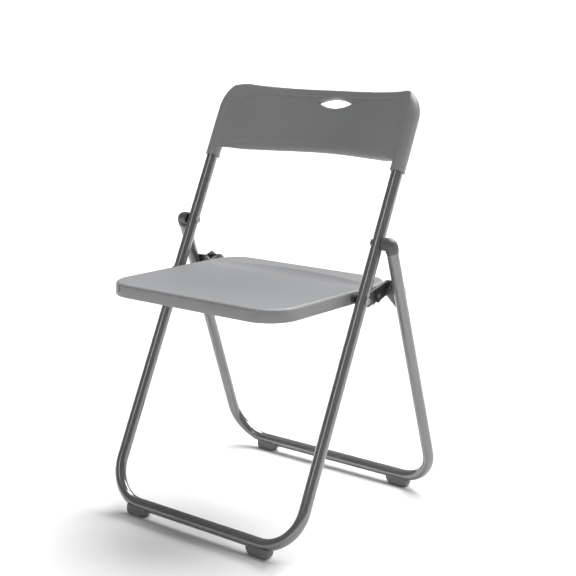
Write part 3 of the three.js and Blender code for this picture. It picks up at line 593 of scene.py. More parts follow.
def plate(name, outline, holes, thickness, axes_used, material, bevel=0.5):
    """A flat plate across the chair from its side view outline, with round holes and soft edges.
    thickness is the plate's two distances from the middle, with the side's sign."""
    outer = np.array(outline, float)
    rings = [np.array(arc((y, z), (r, r), 0, -352.5, 47)) for y, z, r in holes]
    flat, triangles = fill(outer, rings, [], 9.0)
    points, faces = [], []
    for x in thickness:
        start = len(points)
        points += [(x, y, z) for y, z in flat]
        faces += [[start + k for k in f] for f in triangles]
    for loop in (outer, *rings):
        start, count = len(points), len(loop)
        points += [(x, y, z) for x in thickness for y, z in loop]
        for k in range(count):
            n = (k + 1) % count
            faces.append((start + k, start + n, start + count + n, start + count + k))
    piece = new_piece(name, points, faces, axes_used, material)
    if bevel:
        soften(piece, bevel)
    return piece


# ------------------------------------------------------------------ tubes


def tube(name, stations, profile, axes_used, material, steps=44, wall=None):
    """A tube along stations, each (place, direction), square to Y. profile(distance) gives the
    radius square to Y and along Y. With a wall the tube is hollow and open, else a bar."""
    points, faces = [], []
    walls = [0.0] if wall is None else [0.0, wall]
    distance, before = 0.0, None
    for place, direction in stations:
        distance += (place - before).length if before else 0.0
        before = place
        across = Vector((0, 1, 0)).cross(direction).normalized()
        wide, deep = profile(distance)
        for inset in walls:
            for k in range(steps):
                turn = 2 * math.pi * k / steps
                offset = across * ((wide - inset) * math.cos(turn))
                offset += Vector((0, (deep - inset) * math.sin(turn), 0))
                points.append(place + offset)
    count = len(stations)
    layer = steps * len(walls)
    for w in range(len(walls)):
        for i in range(count - 1):
            for k in range(steps):
                n = (k + 1) % steps
                a, b = i * layer + w * steps + k, i * layer + w * steps + n
                faces.append((a, b, b + layer, a + layer))
    for i in (0, count - 1):
        ring = [i * layer + k for k in range(steps)]
        if wall is None:
            faces.append(ring)
        else:
            for k in range(steps):
                n = (k + 1) % steps
                faces.append((ring[k], ring[n], ring[n] + steps, ring[k] + steps))
    return new_piece(name, points, faces, axes_used, material, 40)


def frame_stations(half_span, top, fine=6.0, coarse=24.0, dents=()):
    """Places along a U-shaped frame, from the top of its left leg round to the right one."""
    heights = {BEND_RADIUS, top}
    heights.update(np.arange(BEND_RADIUS, top, coarse))
    for dent in dents:
        heights.update(h for h in np.arange(dent - 36, dent + 37, fine) if BEND_RADIUS < h < top)
    heights = sorted(heights)
    heights = [h for k, h in enumerate(heights) if k == 0 or h - heights[k - 1] > 0.3 or h == top]
    bend_middle = half_span - BEND_RADIUS
    bend_steps = 20
    left = [(Vector((-half_span, 0, h)), Vector((0, 0, -1))) for h in reversed(heights)]
    for k in range(1, bend_steps + 1):
        turn = math.pi / 2 * k / bend_steps
        x = -bend_middle - BEND_RADIUS * math.cos(turn)
        z = BEND_RADIUS - BEND_RADIUS * math.sin(turn)
        left.append((Vector((x, 0, z)), Vector((math.sin(turn), 0, -math.cos(turn)))))
    for x in np.arange(-bend_middle + coarse, -coarse / 2, coarse):
        left.append((Vector((x, 0, 0)), Vector((1, 0, 0))))
    right = [(Vector((-p.x, p.y, p.z)), Vector((d.x, d.y, -d.z))) for p, d in reversed(left)]
    return left + right


def frame_profile(half_span, top, dents, groove=None):
    """Radii along a frame: pressed flat at its pins, a little oval in its bends."""
    leg = top - BEND_RADIUS
    bend = math.pi / 2 * BEND_RADIUS
    bar = 2 * (half_span - BEND_RADIUS)
    whole = 2 * (leg + bend) + bar

    def profile(distance):
        along = min(distance, whole - distance)
        press = sum(math.exp(-(((top - along) - dent) / PIN_DENT_LENGTH) ** 2) for dent in dents)
        bend_end = leg + bend
        into_bend = smooth_step(along, leg - 12, leg + 24)
        out_of_bend = smooth_step(-along, -bend_end - 12, 24 - bend_end)
        press = press * PIN_DENT + float(into_bend * out_of_bend) * BEND_FLATTENING
        ring = 0.0
        if groove is not None:
            ring = GROOVE_DEPTH * math.exp(-(((along - groove) / GROOVE_HALF_WIDTH) ** 2))
        return TUBE_RADIUS * (1 - press) - ring, TUBE_RADIUS * (1 + press * TUBE_SPREAD) - ring

    return profile


def build_tubes():
    dents = (MAIN_UP_FRONT, SEAT_UP_FRONT)
    top = reach("front_tube", front_axes)[1].z
    stations = frame_stations(FRONT_HALF_SPAN, top, dents=dents)
    profile = frame_profile(FRONT_HALF_SPAN, top, dents)
    front = tube("front_bent_tube", stations, profile, front_axes, PAINT, wall=TUBE_WALL)
    settle(front, "front_frame", "tube_paint", "front_tube")

    top = reach("rear_tube", rear_axes)[1].z
    stations = frame_stations(REAR_HALF_SPAN, top)
    drops = np.arange(GROOVE_DROP - 3, GROOVE_DROP + 3.5, 0.5)
    groove = [(Vector((-REAR_HALF_SPAN, 0, top - h)), Vector((0, 0, -1))) for h in drops]
    mirrored = [(Vector((-p.x, 0, p.z)), Vector((0, 0, 1))) for p, _ in reversed(groove)]
    stations = stations[:1] + groove + stations[2:-2] + mirrored + stations[-1:]
    profile = frame_profile(REAR_HALF_SPAN, top, (), GROOVE_DROP)
    rear = tube("rear_bent_tube", stations, profile, rear_axes, PAINT, wall=TUBE_WALL)
    settle(rear, "rear_frame", "tube_paint", "rear_tube")


# ------------------------------------------------------------------ seat


def seat_loop(low, high, inset=0.0):
    """The seat's outline, moved in by inset."""
    front_corner = SEAT_FRONT_CORNER - inset
    corner_x, corner_y = (c - inset for c in SEAT_REAR_CORNER)
    left, right, front, rear = low[0] + inset, high[0] - inset, low[1] + inset, high[1] - inset
    front_y, rear_y = front + front_corner, rear - corner_y
    loop = line((left + front_corner, front), (right - front_corner, front), 40)
    loop += arc((right - front_corner, front_y), (front_corner,) * 2, -90, 0, 14)
    loop += line((right, front_y), (right, rear_y), 30)
    loop += arc((right - corner_x, rear_y), (corner_x, corner_y), 0, 90, 18)
    loop += line((right - corner_x, rear), (left + corner_x, rear), 34)
    loop += arc((left + corner_x, rear_y), (corner_x, corner_y), 90, 180, 18)
    loop += line((left, rear_y), (left, front_y), 30)
    loop += arc((left + front_corner, front_y), (front_corner,) * 2, 180, 270, 14)
    return np.array(loop)


def hollow_edges(x):
    """Where the crescent hollow in the seat starts and ends, front to rear."""
    share = np.clip(np.abs(x) / HOLLOW_HALF_WIDTH, 0, 1)
    front = HOLLOW_FRONT + (HOLLOW_TIP - HOLLOW_FRONT) * share**7
    rear = HOLLOW_REAR + (HOLLOW_TIP - HOLLOW_REAR) * share**2.2
    return front, rear


def seat_hollow(points):
    """Depth of the seat's top below its plane: a crescent that drops at its front crease and
    climbs to a sharp edge at the rear, and the gate's dimple."""
    x, y = points[:, 0], points[:, 1]
    front, rear = hollow_edges(x)
    share = np.clip((y - front) / np.maximum(rear - front, 1e-6), 0, 1)
    drop = smooth_step(y - front, 0.0, 7.0)
    climb = np.tanh(1.5 * (1 - share) / HOLLOW_SLOPE) / math.tanh(1.5 / HOLLOW_SLOPE)
    depth = HOLLOW_DEPTH * (1 - np.clip(np.abs(x) / HOLLOW_HALF_WIDTH, 0, 1) ** 2.5) * drop * climb
    depth[(np.abs(x) >= HOLLOW_HALF_WIDTH) | (y <= front) | (y >= rear)] = 0
    gate = np.hypot(x - GATE[0], y - GATE[1])
    return depth + 0.5 * (1 - smooth_step(gate, 0.8, 2.4))


def build_seat():
    low, high = reach("seat", seat_axes)
    top, bottom = high.z, low.z
    ceiling = top - SEAT_FLOOR
    corner = (SEAT_TOP_ROUND, top - SEAT_TOP_ROUND)
    round_edge = arc(corner, (SEAT_TOP_ROUND,) * 2, 90, 180, 9)
    wall = [(0, top - 10), (0, top - 15), (0, bottom + 1), (0.3, bottom + 0.3), (1, bottom), (2, bottom)]
    inner = [(SEAT_SKIRT, bottom + 0.8), (SEAT_SKIRT, bottom + 9), (SEAT_SKIRT, ceiling - 2)]
    inner += [(SEAT_SKIRT + 0.6, ceiling - 0.6), (SEAT_SKIRT + 2, ceiling)]
    rings = [(SEAT_RIM, top), (9, top), *round_edge, *wall, *inner, (SEAT_RIM, ceiling)]
    points, faces = [], []
    count = len(seat_loop(low, high))
    for k, (inset, height) in enumerate(rings):
        loop = seat_loop(low, high, inset)
        sink = seat_hollow(loop) if inset >= 5 else np.zeros(count)
        points += [(x, y, height - d) for (x, y), d in zip(loop, sink)]
        if k:
            first, second = (k - 1) * count, k * count
            for i in range(count):
                n = (i + 1) % count
                faces.append((first + i, first + n, second + n, second + i))
    crease_x = np.linspace(-HOLLOW_HALF_WIDTH, HOLLOW_HALF_WIDTH, 121)
    crease_front, crease_rear = hollow_edges(crease_x)
    guides = [np.stack([crease_x, crease_front + k], 1) for k in (-1.0, 0.2, 1.4, 2.6, 4.0, 5.5, 7.2)]
    guides += [np.stack([crease_x[4:-4], crease_rear[4:-4] + k], 1) for k in (-4.0, -1.6, 0.0, 1.2)]
    gate = [np.array(arc(GATE, (r, r), 0, 330, 11)) for r in (0.8, 1.6, 2.4, 3.4)]
    rim = seat_loop(low, high, SEAT_RIM)
    fine, coarse = SEAT_MESH
    for level, spacing, extra in ((top, fine, guides + gate), (ceiling, coarse, guides[::2])):
        flat, triangles = fill(rim, [], extra, spacing, 2.2)
        start = len(points)
        points += [(x, y, level - d) for (x, y), d in zip(flat, seat_hollow(flat))]
        faces += [[start + k for k in f] for f in triangles]
    seat = new_piece("seat_moulding", points, faces, seat_axes, SEAT_PLASTIC)
    add_pivot_pads(seat, low, high, ceiling)
    cut_seat_sides(seat, low, high)
    add_seat_ribs(seat, low, high, ceiling)
    mark_wear(seat, seat_axes, lambda p: seat_wear(p, low, high))
    settle(seat, "seat", "grey_plastic", "seat")


def rib(points, faces, start, end, thickness, foot, head):
    """Adds a rib from start to end whose head follows the seat's hollow."""
    first = len(points)
    steps = max(1, round(math.dist(start, end) / 5.0))
    run = np.array([np.array(start) + (np.array(end) - start) * k / steps for k in range(steps + 1)])
    heads = head - seat_hollow(run)
    side = np.array([start[1] - end[1], end[0] - start[0]]) / math.dist(start, end) * thickness / 2
    for (x, y), top in zip(run, heads):
        for sign, height in ((-1, foot), (1, foot), (1, top), (-1, top)):
            points.append((x + sign * side[0], y + sign * side[1], height))
    for k in range(steps):
        for i in range(4):
            a, b = first + 4 * k + i, first + 4 * k + (i + 1) % 4
            faces.append((a, b, b + 4, a + 4))
    last = first + 4 * steps
    faces += [(first, first + 1, first + 2, first + 3), (last, last + 1, last + 2, last + 3)]


def add_pivot_pads(seat, low, high, ceiling):
    """The thick pads that the seat's pivots run in."""
    thick, start, end = PIVOT_PAD
    points, faces = [], []
    for _, side in SIDES:
        pad = sorted((side * (high.x - thick), side * (high.x - SEAT_SKIRT / 2)))
        block(points, faces, (pad, (start, end), (low.z + 0.6, ceiling + 0.5)))
    carve(seat, "UNION", new_piece("pads", points, faces, seat_axes, SEAT_PLASTIC))


def add_seat_ribs(seat, low, high, ceiling):
    """The lattice under the seat, its heads sunk in the seat's top."""
    foot, head = ceiling - RIB_DEPTH, ceiling + 1.5
    points, faces = [], []
    inset = SEAT_SKIRT / 2
    for k in RIBS_LENGTHWISE:
        x = k * RIB_PITCH
        rear = high.y - inset - (RIB_CORNER_GAP if abs(k) == 2 else 0)
        rib(points, faces, (x, low.y + inset), (x, rear), RIB_THICKNESS, foot, head)
    for k in RIBS_CROSSWISE:
        side = high.x - (RIB_PIN_GAP if k == 0 else inset)
        y = k * RIB_PITCH
        rib(points, faces, (-side, y), (side, y), RIB_THICKNESS, foot + 0.3, head - 0.4)
    attach(seat, new_piece("ribs", points, faces, seat_axes, SEAT_PLASTIC))


def cut_seat_sides(seat, low, high):
    """Pockets for the brackets and the pivots' bores."""
    for name, side in SIDES:
        plate_low, plate_high = reach(f"{name}_seat_bracket", seat_axes)
        depth = plate_high.x - plate_low.x + PLAY
        points, faces = [], []
        pocket = sorted((side * (high.x - depth), side * (high.x + 2)))
        along = (plate_low.y - PLAY, plate_high.y + PLAY)
        block(points, faces, (pocket, along, (low.z - 2, plate_high.z + PLAY)))
        carve(seat, "DIFFERENCE", new_piece("pocket", points, faces, seat_axes, SEAT_PLASTIC))
        bore = drill(high.x - 30, high.x + 3, PIN_RADIUS + RUNNING_PLAY)
        carve(seat, "DIFFERENCE", turned("bore", bore, side, (0, 0), seat_axes, SEAT_PLASTIC))


def mark_wear(piece, axes_used, wear):
    """Stores how rubbed the piece is at each of its points."""
    turn_back = axes_used.inverted()
    points = np.array([turn_back @ v.co for v in piece.data.vertices])
    attribute = piece.data.attributes.new("edge_wear", "FLOAT", "POINT")
    attribute.data.foreach_set("value", wear(points).astype(np.float32))


def seat_wear(points, low, high):
    edge = distance_to(points[:, :2], [seat_loop(low, high)[::4]])
    return (1 - smooth_step(edge, 1.0, 5.0)) * smooth_step(points[:, 2], high.z - 7, high.z - 2)


# ------------------------------------------------------------------ backrest


def bowed_edge(x, edge):
    return edge[0] - edge[1] * (x / (FRONT_HALF_SPAN - SLEEVE_RADIUS)) ** 2


def backrest_loop(sleeve_bottom):
    """The backrest's outline: the panel with a sleeve down each tube."""
    half = FRONT_HALF_SPAN + SLEEVE_RADIUS
    inner = FRONT_HALF_SPAN - SLEEVE_RADIUS
    start = half - BACK_CORNER[0]
    corner_y = bowed_edge(start, BACK_TOP) - BACK_CORNER[1]
    low_corner = bowed_edge(inner, BACK_BOTTOM)
    loop = [(-half, sleeve_bottom)] + line((-half, sleeve_bottom), (-inner, sleeve_bottom), 12)
    loop += [(-inner, sleeve_bottom)] + line((-inner, sleeve_bottom), (-inner, low_corner), 7)
    loop += [(x, bowed_edge(x, BACK_BOTTOM)) for x in np.linspace(-inner, inner, 120)]
    loop += line((inner, low_corner), (inner, sleeve_bottom), 7) + [(inner, sleeve_bottom)]
    loop += line((inner, sleeve_bottom), (half, sleeve_bottom), 12) + [(half, sleeve_bottom)]
    loop += line((half, sleeve_bottom), (half, corner_y), 34)
    loop += arc((start, corner_y), BACK_CORNER, 0, 90, 26)
    loop += [(x, bowed_edge(x, BACK_TOP)) for x in np.linspace(start, -start, 120)[1:-1]]
    loop += arc((-start, corner_y), BACK_CORNER, 90, 180, 26)
    loop += line((-half, corner_y), (-half, sleeve_bottom), 34)
    return np.array(loop)


def hand_hole_loop():
    """An eye with pointed ends, clockwise so that the panel is on its left."""
    height, half_length, half_height = HAND_HOLE
    xs = half_length * np.cos(np.linspace(0, math.pi, 37))
    rise = half_height * (1 - (xs / half_length) ** 2)
    lower = np.stack([xs, height - rise], 1)
    upper = np.stack([xs, height + rise], 1)[::-1]
    return np.concatenate([lower[:-1], upper[:-1]])


def panel_step(points):
    """How far inside the sunken face of the panel each point is."""
    x, height = np.abs(points[:, 0]), points[:, 1]
    side = PANEL_STEP_SIDE - x
    top = bowed_edge(x, BACK_TOP) - PANEL_STEP_TOP - height
    corner = PANEL_STEP_CORNER
    rounded = corner - np.hypot(np.maximum(corner - side, 0), np.maximum(corner - top, 0))
    edge = np.where((side < corner) & (top < corner), rounded, np.minimum(side, top))
    return np.minimum(edge, height - bowed_edge(x, BACK_BOTTOM) - LIP_HEIGHT)


def step_guide(offset):
    """Points along the edge of the sunken face, moved in by offset."""
    side, corner = PANEL_STEP_SIDE - offset, PANEL_STEP_CORNER - offset
    xs = np.linspace(-side + corner, side - corner, 110)
    top = [(x, bowed_edge(x, BACK_TOP) - PANEL_STEP_TOP - offset) for x in xs]
    middle_y = bowed_edge(side - corner, BACK_TOP) - PANEL_STEP_TOP - offset - corner
    corners = [
        (sign * (side - corner + corner * math.cos(t)), middle_y + corner * math.sin(t))
        for sign in (-1, 1)
        for t in np.linspace(0, math.pi / 2, 18)
    ]
    low = bowed_edge(side, BACK_BOTTOM) + LIP_HEIGHT + offset
    sides = [(sign * side, y) for sign in (-1, 1) for y in np.arange(low, middle_y, 3.5)]
    xs = np.linspace(-side, side, 120)
    bottom = [(x, bowed_edge(x, BACK_BOTTOM) + LIP_HEIGHT + offset) for x in xs]
    return np.array(top + corners + sides + bottom)


def backrest_faces(points, edge, sleeve_edge, hole_edge):
    """Front and back of the backrest at points of its outline: a bowed panel with round edges,
    a lip that turns back along its lower edge, and a round sleeve over each tube."""
    x, height = points[:, 0], points[:, 1]
    inner = FRONT_HALF_SPAN - SLEEVE_RADIUS
    bow = BACK_BOW * (1 - np.clip(np.abs(x) / inner, 0, 1) ** BACK_BOW_POWER)
    above_lip = np.clip((height - bowed_edge(x, BACK_BOTTOM)) / LIP_HEIGHT, 0, 1)
    bow = bow + LIP_SETBACK * (1 - above_lip) ** 2 * (1 - smooth_step(np.abs(x), 165, 200))
    half = BACK_THICKNESS / 2
    turn = np.sqrt(np.clip(1 - (1 - np.clip(edge / half, 0, 1)) ** 2, 0, 1))
    front = bow - half * turn + PANEL_STEP * smooth_step(panel_step(points), -1.0, 1.0)
    stand_out, collar = HAND_HOLE_COLLAR
    back = bow + half * turn + stand_out * (1 - smooth_step(hole_edge, collar, collar + 1.2))

    across = np.abs(np.abs(x) - FRONT_HALF_SPAN)
    proud, tall = SLEEVE_RIM
    radius = SLEEVE_RADIUS + proud * (1 - smooth_step(height - SLEEVE_BOTTOM, tall - 1.5, tall))
    room = np.clip(np.minimum(SLEEVE_RADIUS - across, sleeve_edge), 0, SLEEVE_RADIUS)
    rise = np.sqrt(np.clip(SLEEVE_RADIUS**2 - (SLEEVE_RADIUS - room) ** 2, 0, None))
    sleeve = rise * radius / SLEEVE_RADIUS
    blend = 0.7
    soft_front = -blend * np.logaddexp(-front / blend, sleeve / blend)
    soft_back = blend * np.logaddexp(back / blend, sleeve / blend)
    on_sleeve = across < SLEEVE_RADIUS - 0.05
    return np.where(on_sleeve, soft_front, front), np.where(on_sleeve, soft_back, back)


def build_backrest():
    outer = backrest_loop(SLEEVE_BOTTOM)
    long_outer = backrest_loop(SLEEVE_BOTTOM - 80)
    hole = hand_hole_loop()
    insets = [0.0, 0.1, 0.4, 0.9, 1.6, 2.5, 3.5]
    edge_loops = [outer[::2], hole]
    points, faces, flat, flat_faces = [], [], [], []
    for loop in (outer, hole):
        count, start = len(loop), len(flat)
        for k, inset in enumerate(insets):
            flat += [tuple(p) for p in inward(loop, inset)]
            if k:
                first, second = start + (k - 1) * count, start + k * count
                for i in range(count):
                    n = (i + 1) % count
                    flat_faces.append((first + i, first + n, second + n, second + i))
    guides = [step_guide(offset) for offset in (-1.6, -0.5, 0.5, 1.6)]
    for inset in (5.0, 7.0, 9.5):
        guides.append(inward(outer, inset))
    sleeve_columns = [
        np.array([(sign * (FRONT_HALF_SPAN + dx), h) for h in np.arange(SLEEVE_BOTTOM + 5, 850, 6)])
        for sign in (-1, 1)
        for dx in (-14.2, -13.0, -11.5, -9, -6, -3, 0, 3, 6)
    ]
    rims = [inward(loop, insets[-1]) for loop in (outer, hole)]
    found, triangles = fill(rims[0], rims[1:], guides + sleeve_columns, 4.6, 2.0)
    start = len(flat)
    flat += [tuple(p) for p in found]
    flat_faces += [[start + k for k in f] for f in triangles]
    flat = np.array(flat)
    edge = distance_to(flat, [outer, hole])
    sleeve_edge = distance_to(flat, [long_outer[::2]])
    front, back = backrest_faces(flat, edge, sleeve_edge, distance_to(flat, [hole]))
    count = len(flat)
    points = [(x, y, z) for (x, z), y in zip(flat, front)] + [(x, y, z) for (x, z), y in zip(flat, back)]
    faces = list(flat_faces) + [[k + count for k in f] for f in flat_faces]
    start = 0
    for loop in (outer, hole):
        for i in range(len(loop)):
            n = (i + 1) % len(loop)
            faces.append((start + i, start + n, start + n + count, start + i + count))
        start += len(loop) * len(insets)
    backrest = new_piece("backrest_moulding", points, faces, front_axes, SEAT_PLASTIC, 38)
    tube_top = reach("front_tube", front_axes)[1].z
    screw_low, screw_high = reach("left_backrest_screw", front_axes)
    screw_up = (screw_low.z + screw_high.z) / 2
    for _, side in SIDES:
        x = side * FRONT_HALF_SPAN
        bore = drill(SLEEVE_BOTTOM - 4, tube_top + RUNNING_PLAY, TUBE_RADIUS + TIGHT_PLAY)
        cutter = turned("bore", bore, 1, (x, 0), front_axes, SEAT_PLASTIC, 48, "z")
        carve(backrest, "DIFFERENCE", cutter, 38)
        hole_run = drill(4.0, SLEEVE_RADIUS + 3, SCREW_RADIUS + TIGHT_PLAY)
        cutter = turned("screw_hole", hole_run, 1, (x, screw_up), front_axes, SEAT_PLASTIC, 24, "y")
        carve(backrest, "DIFFERENCE", cutter, 38)
    mark_wear(backrest, front_axes, lambda p: 1 - smooth_step(distance_to(p[:, ::2], edge_loops), 0.5, 3.5))
    settle(backrest, "front_frame", "grey_plastic", "backrest")


# ------------------------------------------------------------------ fittings


def build_elbows():
    """Each elbow runs out from the front tube and turns down on to the rear leg."""
    for name, side in SIDES:
        low, high = reach(f"{name}_elbow", rear_axes)
        inner = min(abs(low.x), abs(high.x))
        leg_top = reach("rear_tube", rear_axes)[1].z + TIGHT_PLAY
        stations = []
        corner = REAR_HALF_SPAN - ELBOW_BEND
        for x in (inner, inner + 0.5, inner + 1.5, inner + 2.5):
            stations.append((Vector((side * min(x, corner), 0, MAIN_UP_REAR)), Vector((side, 0, 0))))
        for k in range(0, 15):
            turn = math.pi / 2 * k / 14
            x = corner + ELBOW_BEND * math.sin(turn)
            z = MAIN_UP_REAR - ELBOW_BEND * (1 - math.cos(turn))
            direction = Vector((side * math.cos(turn), 0, -math.sin(turn)))
            stations.append((Vector((side * x, 0, z)), direction))
        for z in np.linspace(MAIN_UP_REAR - ELBOW_BEND, leg_top, 5)[1:]:
            stations.append((Vector((side * REAR_HALF_SPAN, 0, z)), Vector((0, 0, -1))))
        length = sum((b[0] - a[0]).length for a, b in zip(stations, stations[1:]))

        def profile(distance):
            rim = 0.7 * math.exp(-((distance / 0.5) ** 2))
            rim += 0.5 * math.exp(-(((length - distance) / 0.4) ** 2))
            return ELBOW_RADIUS - rim, ELBOW_RADIUS - rim

        elbow = tube(f"{name}_elbow_moulding", stations, profile, rear_axes, ELBOW_PLASTIC)
        settle(elbow, "rear_frame", "elbow_plastic", f"{name}_elbow")


def pin(node, body, axes_used, slot, material):
    """A headed pin across the chair, turned to its CAD node's length. Its heads are found from
    the node: wherever the node is as wide as a head."""
    low, high = reach(node, axes_used)
    side = 1 if high.x > 0 else -1
    centre = ((low.y + high.y) / 2, (low.z + high.z) / 2)
    turn_back = axes_used.inverted()
    points = [turn_back @ v.co for v in frame["nodes"][node].data.vertices]
    near, far = sorted((abs(low.x), abs(high.x)))
    wide = [abs(p.x) for p in points if math.hypot(p.y - centre[0], p.z - centre[1]) > PIN_RADIUS * 1.3]
    radius = max(math.hypot(p.y - centre[0], p.z - centre[1]) for p in points)
    near_head = [w for w in wide if w < (near + far) / 2]
    far_head = [w for w in wide if w >= (near + far) / 2]
    profile = []
    if near_head:
        profile += list(reversed(dome(max(near_head), near, radius)))
        profile.append((max(near_head), PIN_RADIUS))
    else:
        profile += [(near, 0.0), (near, PIN_RADIUS - 0.4), (near + 0.4, PIN_RADIUS)]
    if far_head:
        profile.append((min(far_head), PIN_RADIUS))
        profile += dome(min(far_head), far, radius)
    else:
        profile += [(far - 0.4, PIN_RADIUS), (far, PIN_RADIUS - 0.4), (far, 0.0)]
    piece = turned(f"{node}_turned", profile, side, centre, axes_used, material)
    settle(piece, body, slot, node)


def ring(node, body, axes_used, bore, slot, material, edge):
    """A washer or spacer across the chair, with soft rims."""
    low, high = reach(node, axes_used)
    side = 1 if high.x > 0 else -1
    near, far = sorted((abs(low.x), abs(high.x)))
    radius = (high.z - low.z) / 2
    centre = ((low.y + high.y) / 2, (low.z + high.z) / 2)
    profile = [(near, bore), (near, radius - edge), (near + edge, radius)]
    profile += [(far - edge, radius), (far, radius - edge), (far, bore), (near, bore)]
    piece = turned(f"{node}_turned", profile, side, centre, axes_used, material)
    settle(piece, body, slot, node)


def screw(node, body, axes_used, along, slot, material):
    """A cross-headed screw. Its head is at the end of its CAD node that is wide."""
    low, high = reach(node, axes_used)
    axis = "xyz".index(along)
    others = [k for k in range(3) if k != axis]
    centre = tuple((low[k] + high[k]) / 2 for k in others)
    turn_back = axes_used.inverted()
    points = [turn_back @ v.co for v in frame["nodes"][node].data.vertices]
    spread = [math.hypot(p[others[0]] - centre[0], p[others[1]] - centre[1]) for p in points]
    head = [p[axis] for p, r in zip(points, spread) if r > SCREW_HEAD_RADIUS * 0.9]
    base, crown = min(head), max(head)
    at_high_end = crown > (low[axis] + high[axis]) / 2
    tip = low[axis] if at_high_end else high[axis]
    if not at_high_end:
        base, crown = crown, base
    toward = 1 if crown > base else -1
    profile = [(tip, 0.0), (tip + toward * 0.8, SCREW_RADIUS), (base, SCREW_RADIUS)]
    profile += dome(base, crown, SCREW_HEAD_RADIUS)
    piece = turned(f"{node}_turned", profile, 1, centre, axes_used, material, 32, along)
    if axis != 0:
        for wide, narrow in (SCREW_CROSS, SCREW_CROSS[::-1]):
            spans = [None, None, None]
            spans[axis] = sorted((crown - toward * 0.9, crown + toward * 1.0))
            spans[others[0]] = (centre[0] - wide, centre[0] + wide)
            spans[others[1]] = (centre[1] - narrow, centre[1] + narrow)
            part_points, part_faces = [], []
            block(part_points, part_faces, spans)
            carve(piece, "DIFFERENCE", new_piece("cross", part_points, part_faces, axes_used, material), 40)
    settle(piece, body, slot, node)


def build_pins():
    for name, _ in SIDES:
        pin(f"{name}_main_pin", "front_frame", front_axes, "bright_steel", BRIGHT_STEEL)
        pin(f"{name}_seat_pin", "front_frame", front_axes, "bright_steel", BRIGHT_STEEL)
        pin(f"{name}_link_pivot_pin", "rear_frame", rear_axes, "bright_steel", BRIGHT_STEEL)
        pin(f"{name}_link_seat_pin", f"{name}_link", link_axes, "bright_steel", DARK_STEEL)
        bore = PIN_RADIUS + TIGHT_PLAY
        ring(f"{name}_main_washer", "front_frame", front_axes, bore, "dark_plastic", BLACK_PLASTIC, 0.25)
        ring(f"{name}_seat_spacer", "front_frame", front_axes, bore, "dark_plastic", BLACK_PLASTIC, 0.6)
        screw(f"{name}_backrest_screw", "front_frame", front_axes, "y", "bright_steel", BRIGHT_STEEL)
        for k in (1, 2):
            screw(f"{name}_bracket_rivet_{k}", "rear_frame", rear_axes, "y", "bright_steel", BRIGHT_STEEL)
            screw(f"{name}_seat_bracket_screw_{k}", "seat", seat_axes, "x", "bright_steel", BRIGHT_STEEL)
        screw(f"{name}_link_cover_rivet", f"{name}_link", link_axes, "x", "bright_steel", BRIGHT_STEEL)
        front_upright = Matrix.Translation(front_bar) @ Matrix.Scale(MM, 4)
        rear_upright = Matrix.Translation(rear_bar) @ Matrix.Scale(MM, 4)
        screw(f"front_{name}_foot_screw", "front_frame", front_upright, "z", "bright_steel", BRIGHT_STEEL)
        screw(f"rear_{name}_foot_screw", "rear_frame", rear_upright, "z", "bright_steel", BRIGHT_STEEL)


def build_links():
    for name, _ in SIDES:
        half = LINK_HALF_WIDTH
        body = f"{name}_link"
        bar = arc((0, 0), (half, half), 90, 270, 24) + arc((LINK_LENGTH, 0), (half, half), -90, 90, 24)
        rivet = link_axes.inverted() @ middle(f"{name}_link_cover_rivet")
        rivet_hole = (rivet.y, rivet.z, SCREW_RADIUS + TIGHT_PLAY)
        pivot_hole = (LINK_LENGTH, 0, PIN_RADIUS + RUNNING_PLAY)
        holes = [(0, 0, PIN_RADIUS + TIGHT_PLAY), pivot_hole, rivet_hole]
        low, high = reach(f"{name}_link", link_axes)
        link = plate(f"{name}_link_bar", bar, holes, (low.x, high.x), link_axes, DARK_STEEL, 0.4)
        settle(link, body, "dark_steel", f"{name}_link")

        low, high = reach(f"{name}_link_cover", link_axes)
        start, tip = low.y, low.z
        outline = [(start, half - 2), (start + 1, tip + 4.5)]
        outline += arc((start + 4.4, tip + 3.6), (3.4, 3.6), 185, 290, 8)
        outline += [(start + 14, tip + 2.4), (start + 22, -half)]
        outline += arc((LINK_LENGTH, 0), (half, half), -90, 90, 24)
        outline += [(start + 1.5, half), (start + 0.4, half - 0.6)]
        holes = [pivot_hole, rivet_hole]
        node, run = f"{name}_link_cover_moulding", (low.x, high.x)
        cover = plate(node, outline, holes, run, link_axes, BLACK_PLASTIC, 0.7)
        add_cover_ribs(cover, low, high)
        settle(cover, body, "dark_plastic", f"{name}_link_cover")


def add_cover_ribs(cover, low, high):
    """Two upright ribs on the cover's outer face."""
    outer = high.x if high.x > 0 else low.x
    side = 1 if outer > 0 else -1
    points, faces = [], []
    for y in (low.y + 15.5, low.y + 20.5):
        run = sorted((outer - side * 0.8, outer + side * 0.55))
        block(points, faces, (run, (y, y + 2.0), (-LINK_HALF_WIDTH + 2, LINK_HALF_WIDTH - 2)))
    ribs = new_piece("cover_ribs", points, faces, link_axes, BLACK_PLASTIC)
    soften(ribs, 0.4)
    carve(cover, "UNION", ribs)


